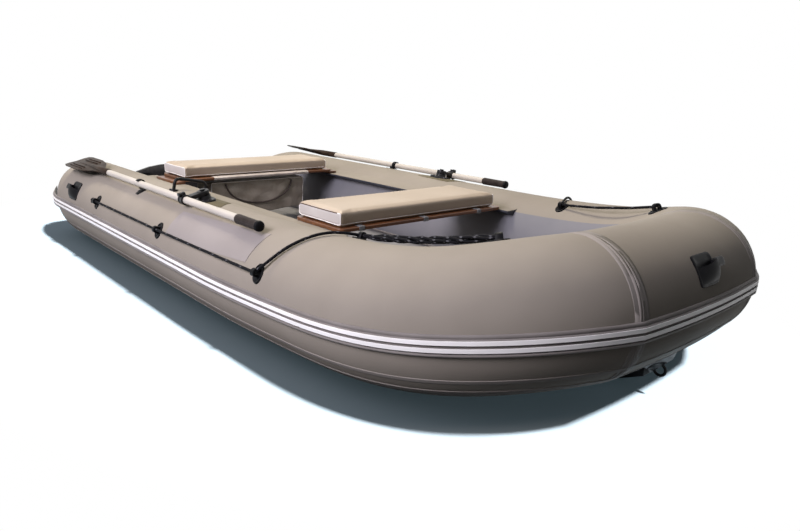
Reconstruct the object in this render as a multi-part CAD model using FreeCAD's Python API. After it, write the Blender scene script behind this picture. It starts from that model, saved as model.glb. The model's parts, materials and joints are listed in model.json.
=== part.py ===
import FreeCAD, Part
import math
import os

# Inflatable motor boat: two side tubes joined by a bow tube, stern cones, an inflatable floor,
# a wooden transom, two bench seats on rails and a pair of oars in swivelling oarlocks.
# Millimetres. X runs from the cones' tips to the bow, Y to port, Z up from the ground.
# The part is built with X = 0 at the cones' tips and moved to its middle when it is written.

# Driving dimensions of the tubes
TUBE_R = 210.0
TUBE_Y = 658.5
CONE_LENGTH = 289.0
CONE_TIP_R = 124.0
CONE_LIFT = 0.35
STRAIGHT_END = 1997.0
BEND_STATIONS = ((2464.0, 644.5, 217.0), (2956.0, 578.5, 264.5))
BOW_X = 3222.0
BOW_HALF = 311.0
BOW_Z = 323.5
BOW_BULGE = 14.0
BOW_ANGLE = 72.6
SKIN_GAP = 0.3
PATCH_THICK = 3.0
THIN_PATCH = 1.5

# Rubbing strake: a moulded band round the widest line
STRAKE_HALF = 30.0
STRAKE_THICK = 9.0
LENGTH = BOW_X + BOW_BULGE + TUBE_R + SKIN_GAP + STRAKE_THICK

# Bottom and floor
FLOOR_TOP = 104.0
FLOOR_SPLIT = 62.0
FLUTE_PITCH = 96.0
FLUTE_DEPTH = 7.0
FLOOR_AFT = 400.0

# Transom
TRANSOM_X = 430.0
TRANSOM_THICK = 30.0
TRANSOM_TOP = 402.0
TRANSOM_RAKE = 6.0

# Seats
RAIL_TOP = 371.0
RAIL_Y = 446.0
RAIL_START = 600.0
RAIL_END = 2330.0
BOARD_THICK = 14.0
CUSHION_THICK = 48.0
FRONT_BOARD = (1990.0, 2290.0, 452.0)
FRONT_CUSHION = (1994.0, 2262.0, 424.0)
AFT_BOARD = (700.0, 990.0, 452.0)
AFT_CUSHION = (710.0, 956.0, 433.0)
CLEAT_HEIGHT = 13.0
BAG_START = -300.0
BAG_WIDTH = 580.0

# Oars, in the frame of the tilted oarlock pin
PIN_X = 1670.0
PIN_Y = 675.0
PIN_TILT = 14.0
PIN_R = 6.0
OAR_OFFSET = 82.0
OAR_HEIGHT = 29.0
COLLAR_WALL = 5.0
SHAFT_R = 15.0
SHAFT_LENGTH = 1300.0
GRIP_R = 18.0
GRIP_LENGTH = 155.0
BLADE_LENGTH = 520.0
BLADE_HALF = 74.0
CLIP_X = 1205.0
# Each oar slides in its collar, so the two lie a little apart lengthwise
BLADE_ROOTS = {-1: 807.0, 1: 605.0}

# Grab line
ROPE_R = 5.0
FITTING_R = 34.5
SIDE_ANGLE = 25.5
SIDE_FITTINGS = (875.0, 1608.0, 2370.0)
TOP_FITTINGS = ((2552.0, 115.0), (3110.0, 114.0))
TOP_SAG = 9.0
EYE_HEIGHT = 15.0

SIDES = (("starboard", -1), ("port", 1))
FAR = 9000.0


def vec(x, y, z):
    return FreeCAD.Vector(x, y, z)


def write(name, shape):
    """Moves a finished piece to the part's own origin and writes it."""
    moved = shape.copy()
    moved.translate(vec(-LENGTH / 2, 0, 0))
    moved.exportStep("parts/" + name + ".step")
    return moved


def prism(points, direction):
    """A closed outline pushed along a direction."""
    wire = Part.makePolygon(list(points) + [points[0]])
    return Part.Face(wire).extrude(direction)


def rounded_box(x0, x1, y0, y1, z0, z1, corner, edge=0.0):
    """A flat block with round corners in plan and, if asked, softened rims."""
    block = Part.makeBox(x1 - x0, y1 - y0, z1 - z0, vec(x0, y0, z0))
    upright = [e for e in block.Edges if abs(e.tangentAt(e.FirstParameter).z) > 0.9]
    block = block.makeFillet(corner, upright)
    if edge:
        rims = [e for e in block.Edges if abs(e.BoundBox.ZLength) < 1e-6]
        block = block.makeFillet(edge, rims)
    return block


# Tubes


def side_axis(side):
    """The axis of a side tube, from the cone's base to the bow mitre."""
    points = [vec(STRAIGHT_END, side * TUBE_Y, TUBE_R)]
    points += [vec(x, side * y, z) for x, y, z in BEND_STATIONS]
    points.append(vec(BOW_X, side * BOW_HALF, BOW_Z))
    straight = Part.LineSegment(vec(CONE_LENGTH, side * TUBE_Y, TUBE_R), points[0])
    angle = math.radians(BOW_ANGLE)
    bend = Part.BSplineCurve()
    bend.interpolate(
        Points=points,
        InitialTangent=vec(1, 0, 0),
        FinalTangent=vec(math.cos(angle), -side * math.sin(angle), 0),
    )
    return straight.toShape(), bend.toShape()


def bow_axis():
    """The bow tube's axis: a shallow arc from mitre to mitre."""
    return Part.Arc(
        vec(BOW_X, -BOW_HALF, BOW_Z),
        vec(BOW_X + BOW_BULGE, 0, BOW_Z),
        vec(BOW_X, BOW_HALF, BOW_Z),
    ).toShape()


def axis_point(x, side):
    """The point and the forward direction of a side tube's axis at a station."""
    if x <= STRAIGHT_END:
        return vec(x, side * TUBE_Y, TUBE_R), vec(1, 0, 0)
    curve = side_axis(side)[1].Curve
    low, high = curve.FirstParameter, curve.LastParameter
    for _ in range(40):
        middle = (low + high) / 2
        if curve.value(middle).x < x:
            low = middle
        else:
            high = middle
    along = curve.tangent(low)[0]
    return curve.value(low), along.normalize()


def tube_frame(x, angle, side, lift=0.0):
    """A placement on a side tube: Z out of the skin, X forward. 0 degrees is the outer side, 90 the top."""
    centre, along = axis_point(x, side)
    outboard = along.cross(vec(0, 0, 1)).normalize() * -side
    upward = vec(0, 0, 1) - along * along.z
    upward.normalize()
    turn = math.radians(angle)
    normal = outboard * math.cos(turn) + upward * math.sin(turn)
    across = normal.cross(along)
    rotation = FreeCAD.Rotation(along, across, normal, "ZXY")
    return FreeCAD.Placement(centre + normal * (TUBE_R + lift), rotation)


def skin_point(x, angle, side, lift):
    return tube_frame(x, angle, side, lift).Base


def placed(shape, placement):
    out = shape.copy()
    out.Placement = placement.multiply(out.Placement)
    return out


def mitre_normal(side):
    """The direction of the bow seam's plane, pointing towards the bow tube."""
    turn = math.radians(BOW_ANGLE)
    forward = vec(math.cos(turn), -side * math.sin(turn), 0)
    edge = bow_axis()
    start = edge.tangentAt(edge.FirstParameter)
    tangent = vec(abs(start.x), -side * abs(start.y), 0)
    return (forward + tangent).normalize()


def half_space(side, towards_bow):
    """A big block on one side of a bow seam's plane."""
    normal = mitre_normal(side) * (1 if towards_bow else -1)
    block = Part.makeBox(FAR, FAR, FAR, vec(0, -FAR / 2, -FAR / 2))
    block.Placement = FreeCAD.Placement(
        vec(BOW_X, side * BOW_HALF, BOW_Z), FreeCAD.Rotation(vec(1, 0, 0), normal)
    )
    return block


def round_sweep(edges, radius):
    path = Part.Wire(edges)
    start = path.OrderedEdges[0]
    point = start.valueAt(start.FirstParameter)
    direction = start.tangentAt(start.FirstParameter)
    ring = Part.Wire(Part.makeCircle(radius, point, direction))
    return path.makePipeShell([ring], True, False)


def run_on(edge, at_end, length):
    """A straight edge that carries on past one end of a curve."""
    parameter = edge.LastParameter if at_end else edge.FirstParameter
    point = edge.valueAt(parameter)
    tangent = edge.tangentAt(parameter).normalize() * (1 if at_end else -1)
    far = point + tangent * length
    line = (point, far) if at_end else (far, point)
    return Part.LineSegment(*line).toShape()


def side_tube(side, radius):
    straight, bend = side_axis(side)
    whole = round_sweep([straight, bend, run_on(bend, True, radius)], radius)
    return whole.common(half_space(side, False)).Solids[0]


def bow_tube(radius):
    arc = bow_axis()
    reach = 0.6 * radius
    whole = round_sweep([run_on(arc, False, reach), arc, run_on(arc, True, reach)], radius)
    return whole.common(half_space(-1, True)).common(half_space(1, True)).Solids[0]


def cone_ring(share, extra=0.0):
    """Centre height and radius of the stern cone; share runs from 0 at its base to 1 at its tip."""
    radius = TUBE_R - (TUBE_R - CONE_TIP_R) * share**1.6
    height = TUBE_R + CONE_LIFT * (TUBE_R - radius)
    return height, radius + extra


def stern_cone(side, extra=0.0):
    rings = []
    for share in (0.0, 0.25, 0.5, 0.75, 0.92):
        height, radius = cone_ring(share, extra)
        centre = vec(CONE_LENGTH * (1 - share), side * TUBE_Y, height)
        rings.append(Part.Wire(Part.makeCircle(radius, centre, vec(1, 0, 0))))
    body = Part.makeLoft(rings, True)
    height, radius = cone_ring(0.92, extra)
    face_x = CONE_LENGTH * 0.08
    cap_rings = []
    for step in range(4):
        turn = math.radians(25.0 * step)
        shrink = 1 - 0.30 * (1 - math.cos(turn))
        x = face_x * (1 - math.sin(turn) / math.sin(math.radians(75.0)))
        circle = Part.makeCircle(radius * shrink, vec(x, side * TUBE_Y, height), vec(1, 0, 0))
        cap_rings.append(Part.Wire(circle))
    cap = Part.makeLoft(cap_rings, True)
    return body.fuse(cap).removeSplitter()


# Strake


def strake_outline():
    """Height and depth pairs of the band's outer face, from its top lip to its bottom lip."""
    thick = STRAKE_THICK
    half = STRAKE_HALF
    return (
        (half, 1.5),
        (half - 2.5, 4.5),
        (half - 8, 4.5),
        (half - 10.5, 3.0),
        (half - 13, thick),
        (3.5, thick),
        (2.5, thick - 4),
        (-2.5, thick - 4),
        (-3.5, thick),
        (13 - half, thick),
        (11 - half, 4.0),
        (8 - half, thick + 1),
        (3 - half, thick),
        (-half, 1.5),
    )


def strake_section(point, along, side):
    """The band's outline beside a tube axis at one point."""
    outboard = along.cross(vec(0, 0, 1)).normalize() * -side

    def at(height, depth):
        return point + outboard * depth + vec(0, 0, height)

    seat = TUBE_R + SKIN_GAP
    outer = [at(v, math.sqrt(seat**2 - v**2) + d) for v, d in strake_outline()]
    top = at(STRAKE_HALF, math.sqrt(seat**2 - STRAKE_HALF**2))
    foot = at(-STRAKE_HALF, math.sqrt(seat**2 - STRAKE_HALF**2))
    edges = [Part.LineSegment(a, b).toShape() for a, b in zip(outer, outer[1:])]
    edges.insert(0, Part.LineSegment(top, outer[0]).toShape())
    edges.append(Part.LineSegment(outer[-1], foot).toShape())
    edges.append(Part.Arc(foot, at(0, seat), top).toShape())
    return Part.Wire(edges)


def strake_sweep(edges, side):
    path = Part.Wire(edges)
    first = path.OrderedEdges[0]
    along = first.tangentAt(first.FirstParameter).normalize()
    section = strake_section(first.valueAt(first.FirstParameter), along, side)
    sweep = Part.BRepOffsetAPI.MakePipeShell(path)
    sweep.setBiNormalMode(vec(0, 0, 1))
    sweep.add(section)
    sweep.build()
    sweep.makeSolid()
    return sweep.shape()


def cone_axis(side, end_share):
    """A line that keeps the band on the cone's outer side."""
    points = []
    for share in (end_share, end_share * 0.66, end_share * 0.33, 0.0):
        height, radius = cone_ring(share)
        offset = TUBE_Y - (TUBE_R - radius)
        points.append(vec(CONE_LENGTH * (1 - share), side * offset, height))
    curve = Part.BSplineCurve()
    curve.interpolate(Points=points, InitialTangent=points[1] - points[0], FinalTangent=vec(1, 0, 0))
    return curve.toShape()


def side_strake(side):
    straight, bend = side_axis(side)
    path = [cone_axis(side, 0.72), straight, bend, run_on(bend, True, TUBE_R)]
    return strake_sweep(path, side).common(half_space(side, False)).Solids[0]


def bow_strake():
    arc = bow_axis()
    path = [run_on(arc, False, TUBE_R * 0.7), arc, run_on(arc, True, TUBE_R * 0.7)]
    whole = strake_sweep(path, -1)
    return whole.common(half_space(-1, True)).common(half_space(1, True)).Solids[0]


# Bottom and floor


# Station, half width, height of the outer edge and height of the keel
BOTTOM_SECTIONS = (
    (FLOOR_AFT, 570.0, 27.0, 5.0),
    (STRAIGHT_END, 570.0, 27.0, 5.0),
    (2464.0, 560.0, 34.0, 5.0),
    (2956.0, 535.0, 64.0, 8.0),
    (3100.0, 420.0, 98.0, 14.0),
    (3210.0, 290.0, 118.0, 30.0),
    (3300.0, 120.0, 136.0, 72.0),
    (3362.0, 30.0, 160.0, 134.0),
)
BOTTOM_WALL = 14.0


def hull_clearance():
    """The tubes with a hair's gap, used to trim whatever meets their skins."""
    gap = TUBE_R + SKIN_GAP
    shapes = [bow_tube(gap)]
    for _, side in SIDES:
        shapes += [side_tube(side, gap), stern_cone(side, SKIN_GAP)]
    return shapes


def vee_body(top, lift=0.0):
    """A loft of vee sections from the transom to the forefoot; top gives each section's upper edge."""
    rings = []
    for x, half, edge, keel in BOTTOM_SECTIONS:
        belly = (edge + keel) / 2 - 2
        outline = [(-half, edge), (-half * 0.42, belly), (0, keel), (half * 0.42, belly), (half, edge)]
        outline = [(y, z + lift) for y, z in outline]
        outline += [(half, top(edge)), (-half, top(edge))]
        points = [vec(x, y, z) for y, z in outline]
        rings.append(Part.makePolygon(points + [points[0]]))
    return Part.makeLoft(rings, True, True)


def bottom_skin(tubes, deck):
    """The vee bottom between the tubes, whose keel sweeps up to the bow."""
    body = vee_body(lambda edge: max(FLOOR_SPLIT, edge + 6.0))
    return largest(body.cut(tubes + [deck]))


def largest(shape):
    return max(shape.Solids, key=lambda s: s.Volume)


def floor_deck(tubes):
    """The inflated floor: lengthwise chambers side by side."""
    flutes = 9
    start = -FLUTE_PITCH * flutes / 2
    points = []
    for n in range(flutes):
        y = start + n * FLUTE_PITCH
        for share in (0.0, 0.2, 0.5, 0.8):
            crown = FLOOR_TOP - FLUTE_DEPTH * (2 * share - 1) ** 2
            points.append((y + share * FLUTE_PITCH, crown))
    points.append((-start, FLOOR_TOP - FLUTE_DEPTH))
    points += [(560.0, FLOOR_TOP - FLUTE_DEPTH), (560.0, FLOOR_SPLIT + 0.2)]
    points += [(-560.0, FLOOR_SPLIT + 0.2), (-560.0, FLOOR_TOP - FLUTE_DEPTH)]
    outline = [vec(FLOOR_AFT, y, z) for y, z in points]
    slab = prism(outline, vec(BOW_X - FLOOR_AFT, 0, 0))
    above_skin = vee_body(lambda edge: 300.0, BOTTOM_WALL)
    behind = raked(Part.makeBox(300.0, 1200.0, 300.0, vec(TRANSOM_X - 300.0 + SKIN_GAP, -600.0, 0.0)))
    return largest(slab.common(above_skin).cut(tubes + [behind]))


def keel_strip(skin):
    """The wear strip glued along the keel."""
    points = [vec(x, 0, keel) for x, _, _, keel in BOTTOM_SECTIONS[:-1]]
    thick = 3.0
    outline = [p - vec(0, 0, thick) for p in points]
    outline += [p + vec(0, 0, 40.0) for p in reversed(points)]
    strip = prism([p - vec(0, 45.0, 0) for p in outline], vec(0, 90.0, 0))
    return largest(strip.cut(skin))


# Transom


def raked(shape):
    out = shape.copy()
    out.rotate(vec(TRANSOM_X, 0, 60.0), vec(0, 1, 0), -TRANSOM_RAKE)
    return out


def transom_panel(tubes):
    right = [(540, 66), (540, 330), (470, 372), (400, TRANSOM_TOP - 10), (330, TRANSOM_TOP)]
    left = [(-y, z) for y, z in reversed(right)]
    points = [vec(TRANSOM_X, y, z) for y, z in right + left]
    panel = prism(points, vec(-TRANSOM_THICK, 0, 0))
    return largest(raked(panel).cut(tubes))


def transom_holder(side, panel, tubes):
    """The glued-on socket that takes one end of the transom."""
    wall = 14.0
    outer = Part.makeBox(
        TRANSOM_THICK + 2 * wall,
        150.0,
        250.0,
        vec(TRANSOM_X - TRANSOM_THICK - wall, 410.0 if side > 0 else -560.0, 110.0),
    )
    return largest(raked(outer).cut(tubes + [panel]))


def motor_pad(aft):
    """The plastic plate that the motor's clamps bite on."""
    half, low, thick = (150.0, 250.0, 6.0) if aft else (120.0, 290.0, 6.0)
    x0 = TRANSOM_X - TRANSOM_THICK - thick if aft else TRANSOM_X
    pad = Part.makeBox(thick, 2 * half, TRANSOM_TOP - 8 - low, vec(x0, -half, low))
    corners = [e for e in pad.Edges if abs(e.tangentAt(e.FirstParameter).x) > 0.9]
    return raked(pad.makeFillet(14.0, corners))


def drain_valve():
    x = TRANSOM_X - TRANSOM_THICK
    body = Part.makeCylinder(32.0, 5.0, vec(x, 190.0, 150.0), vec(-1, 0, 0))
    spout = Part.makeCylinder(21.0, 24.0, vec(x, 190.0, 150.0), vec(-1, 0, 0))
    mouth = Part.makeCylinder(15.0, 14.0, vec(x - 10.0, 190.0, 150.0), vec(-1, 0, 0))
    return raked(body.fuse(spout).cut(mouth))


def stern_eyes():
    """Bolted loops on the transom for towing and lifting: each a bent rod on a small plate."""
    rod_r = 4.0
    half = 18.0
    reach = 34.0
    x = TRANSOM_X - TRANSOM_THICK
    out = []
    for _, side in SIDES:
        y = side * 280.0
        z = 190.0
        plate = Part.makeBox(3.0, 26.0, 62.0, vec(x - 3.0, y - 13.0, z - 31.0))
        route = [vec(x, y, z - half), vec(x - reach, y, z - half)]
        route += [vec(x - reach, y, z + half), vec(x, y, z + half)]
        loop = bent_rod(route, rod_r, [16.0, 16.0])
        out.append(raked(plate.fuse(loop).cut(Part.makeBox(20.0, 60.0, 90.0, vec(x, y - 30, z - 45)))))
    return Part.makeCompound(out)


def bow_ring(skin_and_tubes):
    """The towing loop under the bow: a round arch on a saddle patch that straddles the keel."""
    rod_r = 4.5
    ring_r = 18.0
    leg = 8.0
    slope = math.radians(43.0)
    normal = vec(math.sin(slope), 0, -math.cos(slope))
    along = vec(math.cos(slope), 0, math.sin(slope))
    rotation = FreeCAD.Rotation(along, normal.cross(along), normal, "ZXY")
    place = FreeCAD.Placement(vec(3322.0, 0, 94.0), rotation)
    arch = Part.makeTorus(ring_r, rod_r, vec(0, 0, 0), vec(0, 1, 0), -180.0, 180.0, 180.0)
    arch.rotate(vec(0, 0, 0), vec(0, 1, 0), -90.0)
    arch.translate(vec(0, 0, leg))
    legs = [Part.makeCylinder(rod_r, leg + 12.0, vec(x, 0, -12.0)) for x in (-ring_r, ring_r)]
    disc = Part.makeCylinder(34.0, 60.0, vec(0, 0, -50.0))
    saddle = vee_body(lambda edge: edge + 6.0, -PATCH_THICK).common(placed(disc, place))
    return largest(placed(arch.fuse(legs), place).fuse(saddle).cut(skin_and_tubes))


# Seats


def seat_rail(side, tubes):
    """The glued rail with a shelf that carries the seat boards."""
    shelf = [(512.0, 338.0), (RAIL_Y, 362.0), (RAIL_Y, RAIL_TOP), (505.0, RAIL_TOP)]
    root = [(560.0, 392.0), (560.0, 338.0)]
    points = [vec(RAIL_START, side * y, z) for y, z in shelf + root]
    bar = prism(points, vec(RAIL_END - RAIL_START, 0, 0))
    return largest(bar.cut(tubes))


def board(spec, bottom):
    x0, x1, half = spec
    return rounded_box(x0, x1, -half, half, bottom, bottom + BOARD_THICK, 24.0, 3.0)


def cushion(spec, bottom):
    x0, x1, half = spec
    gap = 0.5
    return rounded_box(x0, x1, -half, half, bottom + gap, bottom + CUSHION_THICK, 34.0, 9.0)


def aft_cleats():
    """Packing strips between the rails and the aft board."""
    width = 48.0
    strips = []
    for _, side in SIDES:
        inner = RAIL_Y + 0.5
        start = inner if side > 0 else -inner - width
        corner = vec(720.0, start, RAIL_TOP + 0.2)
        strips.append(Part.makeBox(250.0, width, CLEAT_HEIGHT - 0.4, corner))
    return Part.makeCompound(strips)


def seat_straps():
    """Webbing loops that tie the front cushion to its board."""
    x0, x1, _ = FRONT_BOARD
    bottom = RAIL_TOP + 0.2
    loops = []
    for y in (-350.0, -20.0, 300.0):
        outer = Part.makeBox(28.0, 26.0, BOARD_THICK + 4.0, vec(x1 - 26.0, y - 13.0, bottom - 1.8))
        inner = Part.makeBox(28.0, 26.0, BOARD_THICK + 0.6, vec(x1 - 27.7, y - 13.0, bottom - 0.2))
        loops.append(outer.cut(inner))
    return Part.makeCompound(loops)


def seat_bag():
    """The bag that hangs under the aft bench."""
    front = [(770.0, 366.0), (948.0, 366.0), (958.0, 300.0), (946.0, 200.0)]
    back = [(905.0, 186.0), (790.0, 190.0), (764.0, 240.0)]
    points = [vec(x, BAG_START, z) for x, z in front + back]
    body = prism(points, vec(0, BAG_WIDTH, 0))
    edges = [e for e in body.Edges if abs(e.tangentAt(e.FirstParameter).y) > 0.9]
    return body.makeFillet(14.0, edges)


def bag_sleeve():
    """The bag's top band, which goes round the aft board's front edge."""
    bottom = RAIL_TOP + CLEAT_HEIGHT
    x1 = AFT_BOARD[1]
    outer = Part.makeBox(40.0, BAG_WIDTH, BOARD_THICK + 20.0, vec(x1 - 36.0, BAG_START, bottom - 18.0))
    inner = Part.makeBox(40.0, BAG_WIDTH, BOARD_THICK + 30.0, vec(x1 - 39.6, BAG_START, bottom - 0.4))
    return outer.cut(inner)


# Oars and oarlocks


def pin_frame(side):
    """The oarlock pin's frame: Z up the tilted pin, X forward."""
    drop = math.sqrt(TUBE_R**2 - (TUBE_Y - PIN_Y) ** 2)
    tilt = math.radians(PIN_TILT)
    up = vec(0, side * math.sin(tilt), math.cos(tilt))
    forward = vec(1, 0, 0)
    rotation = FreeCAD.Rotation(forward, up.cross(forward), up, "ZXY")
    return FreeCAD.Placement(vec(PIN_X, side * PIN_Y, TUBE_R + drop), rotation)


def in_pin_frame(shape, side):
    """Built for starboard, where outboard is -Y, and mirrored for port."""
    own = shape if side < 0 else shape.mirror(vec(0, 0, 0), vec(0, 1, 0))
    return placed(own, pin_frame(side))


def oarlock_base(side, thin_tube, tubes):
    """A moulded block on a slanted patch, with the pin that the swivel turns on."""
    corners = [(-130.0, 42.0), (-79.0, -54.0), (172.0, -18.0), (110.0, 56.0)]
    patch = prism([vec(x, y, -60.0) for x, y in corners], vec(0, 0, 90.0))
    foot = Part.makeCone(42.0, 28.0, 34.0, vec(0, 0, -26.0))
    plinth = rounded_box(-62.0, 62.0, -26.0, 26.0, -26.0, 7.0, 20.0)
    drum = Part.makeCylinder(26.0, 20.0, vec(0, 0, 0))
    pin = Part.makeCylinder(PIN_R, 24.0, vec(0, 0, 19.0))
    head = Part.makeCylinder(11.0, 5.0, vec(0, 0, 41.5))
    bolts = [Part.makeCylinder(6.5, 4.0, vec(x, 0, 6.0)) for x in (-50.0, 50.0)]
    whole = in_pin_frame(foot.fuse([plinth, drum, pin, head] + bolts), side)
    sheet = in_pin_frame(patch, side).common(thin_tube)
    return largest(whole.fuse(sheet).cut(tubes))


def oarlock_swivel(side):
    """The turning block, its arm and the split collar that grips the shaft."""
    middle = vec(0, -OAR_OFFSET, OAR_HEIGHT)
    half = 17.0
    block = Part.makeCylinder(24.0, 19.0, vec(0, 0, 21.0))
    arm = prism(
        [vec(-20, 0, 23), vec(20, 0, 23), vec(half, -OAR_OFFSET, 23), vec(-half, -OAR_OFFSET, 23)],
        vec(0, 0, 15.0),
    )
    collar = Part.makeCylinder(SHAFT_R + COLLAR_WALL, 2 * half, middle - vec(half, 0, 0), vec(1, 0, 0))
    rims = [
        Part.makeCylinder(SHAFT_R + COLLAR_WALL + 1.5, 4.0, middle + vec(x, 0, 0), vec(1, 0, 0))
        for x in (-half, half - 4.0)
    ]
    lug_y = -OAR_OFFSET
    lug = rounded_box(-11.0, 11.0, lug_y - 8, lug_y + 8, OAR_HEIGHT + 12, OAR_HEIGHT + 31, 4.0)
    split = Part.makeBox(30.0, 2.4, 30.0, vec(-15.0, lug_y - 1.2, OAR_HEIGHT + SHAFT_R + COLLAR_WALL + 1))
    knob = Part.makeCylinder(9.0, 12.0, vec(0, -OAR_OFFSET - 20.0, OAR_HEIGHT + 25), vec(0, 1, 0))
    whole = block.fuse([arm, collar, lug.cut(split), knob] + rims)
    bore = Part.makeCylinder(PIN_R + 0.3, 40.0, vec(0, 0, 10.0))
    shaft = Part.makeCylinder(SHAFT_R + 0.1, 60.0, vec(-30.0, -OAR_OFFSET, OAR_HEIGHT), vec(1, 0, 0))
    return largest(in_pin_frame(whole.cut(bore).cut(shaft), side))


def oar_shaft(side):
    start = vec(BLADE_ROOTS[side] - PIN_X, -OAR_OFFSET, OAR_HEIGHT)
    tube = Part.makeCylinder(SHAFT_R, SHAFT_LENGTH, start, vec(1, 0, 0))
    return in_pin_frame(tube, side)


def oar_grip(side):
    """The moulded handle with a flared end."""
    length = GRIP_LENGTH
    profile = [(0, 0), (0, GRIP_R - 1.5), (6, GRIP_R), (length - 26, GRIP_R - 1.0)]
    profile += [(length - 10, GRIP_R + 1.5), (length - 3, GRIP_R), (length, GRIP_R - 5), (length, 0)]
    points = [vec(x, r, 0) for x, r in profile]
    body = Part.Face(Part.makePolygon(points + [points[0]])).revolve(vec(0, 0, 0), vec(1, 0, 0), 360)
    body.translate(vec(BLADE_ROOTS[side] + SHAFT_LENGTH - PIN_X, -OAR_OFFSET, OAR_HEIGHT))
    return in_pin_frame(body, side)


def oar_blade(side):
    """A dished plastic blade on a socket, with a tapering spine and stiffening ribs."""
    length = BLADE_LENGTH
    socket = 150.0
    half = BLADE_HALF
    stations = (
        (socket - 70.0, 19.0, 0.0),
        (socket, 30.0, 2.0),
        (socket + 60.0, half * 0.82, 5.0),
        (socket + 150.0, half, 7.0),
        (length - 60.0, half, 7.0),
        (length - 18.0, half * 0.88, 6.0),
        (length, half * 0.56, 4.0),
    )
    rings = []
    for back, width, dish in stations:
        upper = [vec(-back, -width, dish), vec(-back, 0, 2.0), vec(-back, width, dish)]
        lower = [vec(-back, width, dish - 4.0), vec(-back, 0, -2.0), vec(-back, -width, dish - 4.0)]
        rings.append(Part.makePolygon(upper + lower + [upper[0]]))
    plate = Part.makeLoft(rings, True, True)
    sleeve = Part.makeCylinder(SHAFT_R + 2.5, socket, vec(0, 0, 0), vec(-1, 0, 0))
    spine = Part.makeCone(SHAFT_R + 2.5, 5.0, length - socket - 70.0, vec(-socket, 0, 0), vec(-1, 0, 0))
    whole = plate.fuse([sleeve, spine])
    for y in (-50.0, -32.0, 32.0, 50.0):
        rib = Part.makeBox(190.0, 4.0, 11.0, vec(60.0 - length, y - 2, -2.0))
        whole = whole.fuse(rib)
    whole.translate(vec(BLADE_ROOTS[side] - PIN_X, -OAR_OFFSET, OAR_HEIGHT))
    return in_pin_frame(whole, side)


def oar_clip(side, thick_tube, tubes):
    """A rubber stirrup on a glued foot, open outboard, that the shaft rests in."""
    room = SHAFT_R + 2.0
    wall = 5.0
    width = 22.0
    x = CLIP_X - PIN_X
    centre = vec(x - width / 2, -OAR_OFFSET, OAR_HEIGHT)
    ring = Part.makeCylinder(room + wall, width, centre, vec(1, 0, 0))
    hollow = Part.makeCylinder(room, width, centre, vec(1, 0, 0))
    slot = Part.makeBox(width, 60.0, 2 * room, centre + vec(0, -60.0, -room))
    trim = Part.makeBox(width, 60.0, 80.0, centre + vec(0, -72.0, -40.0))
    clip = ring.cut([hollow, slot, trim])
    inner = -OAR_OFFSET + 40.0
    outer = -OAR_OFFSET - 58.0
    corners = [(x - 32, inner), (x + 32, inner), (x + 12, outer), (x - 12, outer)]
    foot = prism([vec(u, v, -60.0) for u, v in corners], vec(0, 0, 90.0))
    post = Part.makeBox(width, 16.0, 30.0, vec(x - width / 2, -OAR_OFFSET + room - 2, -10.0))
    solid = in_pin_frame(clip.fuse(post).cut(hollow), side)
    sheet = in_pin_frame(foot, side).common(thick_tube)
    return largest(solid.fuse(sheet).cut(tubes))


# Handles and line fittings


def seated(patch, fitting, placement, thick_tube, tubes):
    """A fitting on a glued patch that follows the tube's skin."""
    sheet = placed(patch, placement).common(thick_tube)
    return largest(placed(fitting, placement).fuse(sheet).cut(tubes))


def handle_patch(plate_x, plate_y):
    return rounded_box(-plate_x / 2, plate_x / 2, -plate_y / 2, plate_y / 2, -30.0, 12.0, 14.0)


def handle_grip(grip_length):
    """An arched grip on two feet: Z out of the skin, the grip along X."""
    half = grip_length / 2
    outer = [(-half, -3), (-half + 4, 14), (-half + 22, 36), (half - 22, 36), (half - 4, 14), (half, -3)]
    inner = [(half - 22, -3), (half - 27, 25), (27 - half, 25), (22 - half, -3)]
    points = [vec(x, -15.0, z) for x, z in outer + inner]
    return prism(points, vec(0, 30.0, 0))


def bow_handle(thick_tube, tubes):
    turn = math.radians(31.0)
    normal = vec(math.cos(turn), 0, math.sin(turn))
    rotation = FreeCAD.Rotation(vec(0, 1, 0), normal.cross(vec(0, 1, 0)), normal, "ZXY")
    centre = vec(BOW_X + BOW_BULGE, 0, BOW_Z) + normal * TUBE_R
    place = FreeCAD.Placement(centre, rotation)
    return seated(handle_patch(84.0, 96.0), handle_grip(140.0), place, thick_tube, tubes)


def stern_handle(side, thick_tube, tubes):
    place = tube_frame(509.0, 27.0, side)
    return seated(handle_patch(84.0, 90.0), handle_grip(120.0), place, thick_tube, tubes)


def grab_bar(side, tubes):
    """A bent bar on two round feet that stands across the tube's crown."""
    frame = tube_frame(1400.0, 101.0, side)
    radius = 7.0
    height = 44.0
    half = 72.0
    root = -18.0
    points = [vec(0, -half, root), vec(0, -half, height), vec(0, half, height), vec(0, half, root)]
    bar = bent_rod(points, radius, [22.0, 22.0])
    feet = [Part.makeCylinder(18.0, 24.0, vec(0, y, -28.0)) for y in (-half, half)]
    return largest(placed(bar.fuse(feet), frame).cut(tubes))


def bent_rod(points, radius, bends):
    """A round rod of straight runs joined by tangent arcs."""
    edges = []
    start = points[0]
    for before, corner, after, bend in zip(points, points[1:], points[2:], bends):
        back = (before - corner).normalize()
        ahead = (after - corner).normalize()
        half_turn = (math.pi - math.acos(max(-1.0, min(1.0, back.dot(ahead))))) / 2
        cut = bend * math.tan(half_turn)
        first = corner + back * cut
        last = corner + ahead * cut
        inward = (back + ahead).normalize()
        centre = corner + inward * (bend / math.cos(half_turn))
        middle = centre - inward * bend
        edges.append(Part.LineSegment(start, first).toShape())
        edges.append(Part.Arc(first, middle, last).toShape())
        start = last
    edges.append(Part.LineSegment(start, points[-1]).toShape())
    return round_sweep(edges, radius)


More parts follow.
